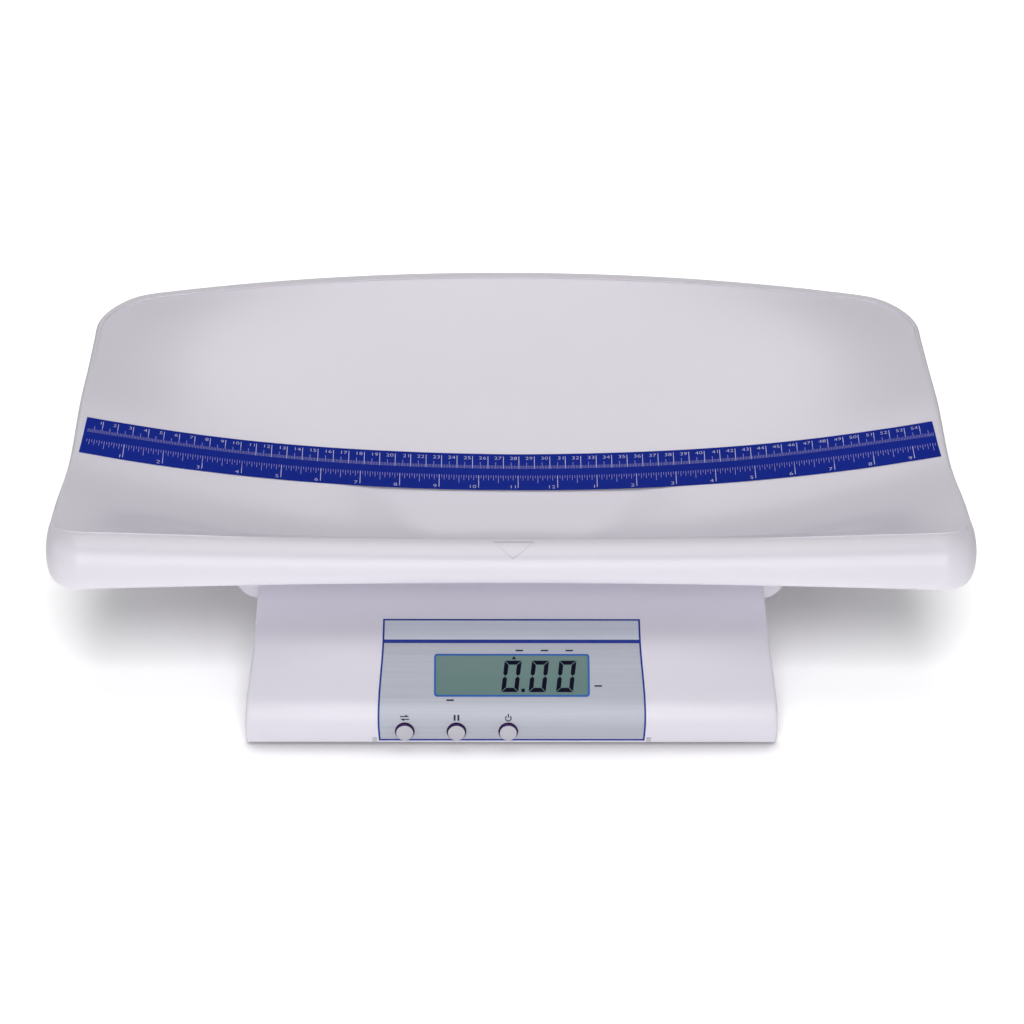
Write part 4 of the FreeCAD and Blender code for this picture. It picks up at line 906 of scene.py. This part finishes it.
# Close in front of the base the floor's colour is darkened by ambient occlusion: painted shade.
place = tree.nodes.new("ShaderNodeTexCoord")
close = tree.nodes.new("ShaderNodeAmbientOcclusion")
close.inputs["Distance"].default_value = shade_reach
shade = two_tone(tree, floor_tone, painted_shade_tone, 0.45, 0.97)
apart = tree.nodes.new("ShaderNodeSeparateXYZ")
before = tree.nodes.new("ShaderNodeMapRange")
before.inputs["From Min"].default_value = shade_start
before.inputs["From Max"].default_value = shade_full
weigh = tree.nodes.new("ShaderNodeMix")
weigh.inputs["A"].default_value = 1.0
links.new(place.outputs["Object"], apart.inputs["Vector"])
links.new(apart.outputs["Y"], before.inputs["Value"])
links.new(before.outputs["Result"], weigh.inputs["Factor"])
links.new(close.outputs["AO"], weigh.inputs["B"])
links.new(weigh.outputs["Result"], shade.inputs["Fac"])
links.new(shade.outputs["Color"], shader.inputs["Base Color"])
# Seen by the camera only, the floor whitens away from the object, so that its shadows stay.
far = tree.nodes.new("ShaderNodeVectorMath")
far.operation = "LENGTH"
whiten = tree.nodes.new("ShaderNodeValToRGB")
whitening = ((0.2, 0.10), (0.26, 0.18), (0.30, 0.27), (0.42, 0.42), (1.0, 1.0))
for k, (distance, amount) in enumerate(whitening):
    step = whiten.color_ramp.elements[k] if k < 2 else whiten.color_ramp.elements.new(distance)
    step.position = distance
    step.color = (amount, amount, amount, 1)
paths = tree.nodes.new("ShaderNodeLightPath")
shown_white = tree.nodes.new("ShaderNodeMath")
shown_white.operation = "MULTIPLY"
links.new(place.outputs["Object"], far.inputs[0])
links.new(far.outputs["Value"], whiten.inputs["Fac"])
links.new(whiten.outputs["Color"], shown_white.inputs[0])
links.new(paths.outputs["Is Camera Ray"], shown_white.inputs[1])
links.new(shown_white.outputs[0], shader.inputs["Emission Strength"])
floor.data.materials.append(floor_white)

# The surround is white to the camera, in gloss and through glass, and gives little light.
world = bpy.data.worlds.new("surround")
bpy.context.scene.world = world
world.use_nodes = True
tree = world.node_tree
background = tree.nodes["Background"]
background.inputs["Color"].default_value = (1, 1, 1, 1)
paths = tree.nodes.new("ShaderNodeLightPath")
seen = tree.nodes.new("ShaderNodeMath")
seen.operation = "MAXIMUM"
seen_too = tree.nodes.new("ShaderNodeMath")
seen_too.operation = "MAXIMUM"
strength = tree.nodes.new("ShaderNodeMapRange")
strength.inputs["To Min"].default_value = 0.02
strength.inputs["To Max"].default_value = 1.0
tree.links.new(paths.outputs["Is Camera Ray"], seen.inputs[0])
tree.links.new(paths.outputs["Is Glossy Ray"], seen.inputs[1])
tree.links.new(seen.outputs[0], seen_too.inputs[0])
tree.links.new(paths.outputs["Is Transmission Ray"], seen_too.inputs[1])
tree.links.new(seen_too.outputs[0], strength.inputs["Value"])
tree.links.new(strength.outputs["Result"], background.inputs["Strength"])


def lamp(name, place, target, size, power):
    """Square soft lamp aimed at a point."""
    light = bpy.data.lights.new(name, "AREA")
    light.size = size
    light.energy = power
    lamp_object = bpy.data.objects.new(name, light)
    bpy.context.scene.collection.objects.link(lamp_object)
    lamp_object.location = place
    lamp_object.rotation_euler = (Vector(target) - Vector(place)).to_track_quat("-Z", "Y").to_euler()
    return lamp_object


bowl_middle = (0, 0, 0.1)
lamp("front_lamp", (0, -2.4, 1.0), bowl_middle, 1.9, 30.5)
lamp("rear_lamp", (0, 0.8, 2.4), bowl_middle, 1.2, 12.5)
lamp("high_lamp", (0, -0.4, 2.5), bowl_middle, 1.2, 12)
lamp("side_lamp", (-2.2, -1.2, 1.2), bowl_middle, 1.2, 3.5)
# One lamp reaches the floor alone and draws the soft shadow under the tray's ends.
floor_alone = bpy.data.collections.new("floor_alone")
floor_alone.objects.link(floor)
floor_lamp = lamp("floor_lamp", (0, -1.9, 1.8), (0, 0, 0), 1.0, 48)
floor_lamp.light_linking.receiver_collection = floor_alone

camera_data = bpy.data.cameras.new("camera")
camera_data.lens = 105.47
camera_data.sensor_width = 36.0
camera = bpy.data.objects.new("camera", camera_data)
bpy.context.scene.collection.objects.link(camera)
camera.location = (-0.0254, base_front - 1.5668, 0.9608)
turn, fall = math.radians(0.89), math.radians(27)
aim = Vector((math.sin(turn) * math.cos(fall), math.cos(turn) * math.cos(fall), -math.sin(fall)))
roll = Quaternion(aim, math.radians(-0.49))
camera.rotation_euler = (roll @ aim.to_track_quat("-Z", "Y")).to_euler()
camera_data.clip_start, camera_data.clip_end = 0.1, 30
bpy.context.scene.camera = camera
bpy.context.scene.view_settings.view_transform = "Standard"
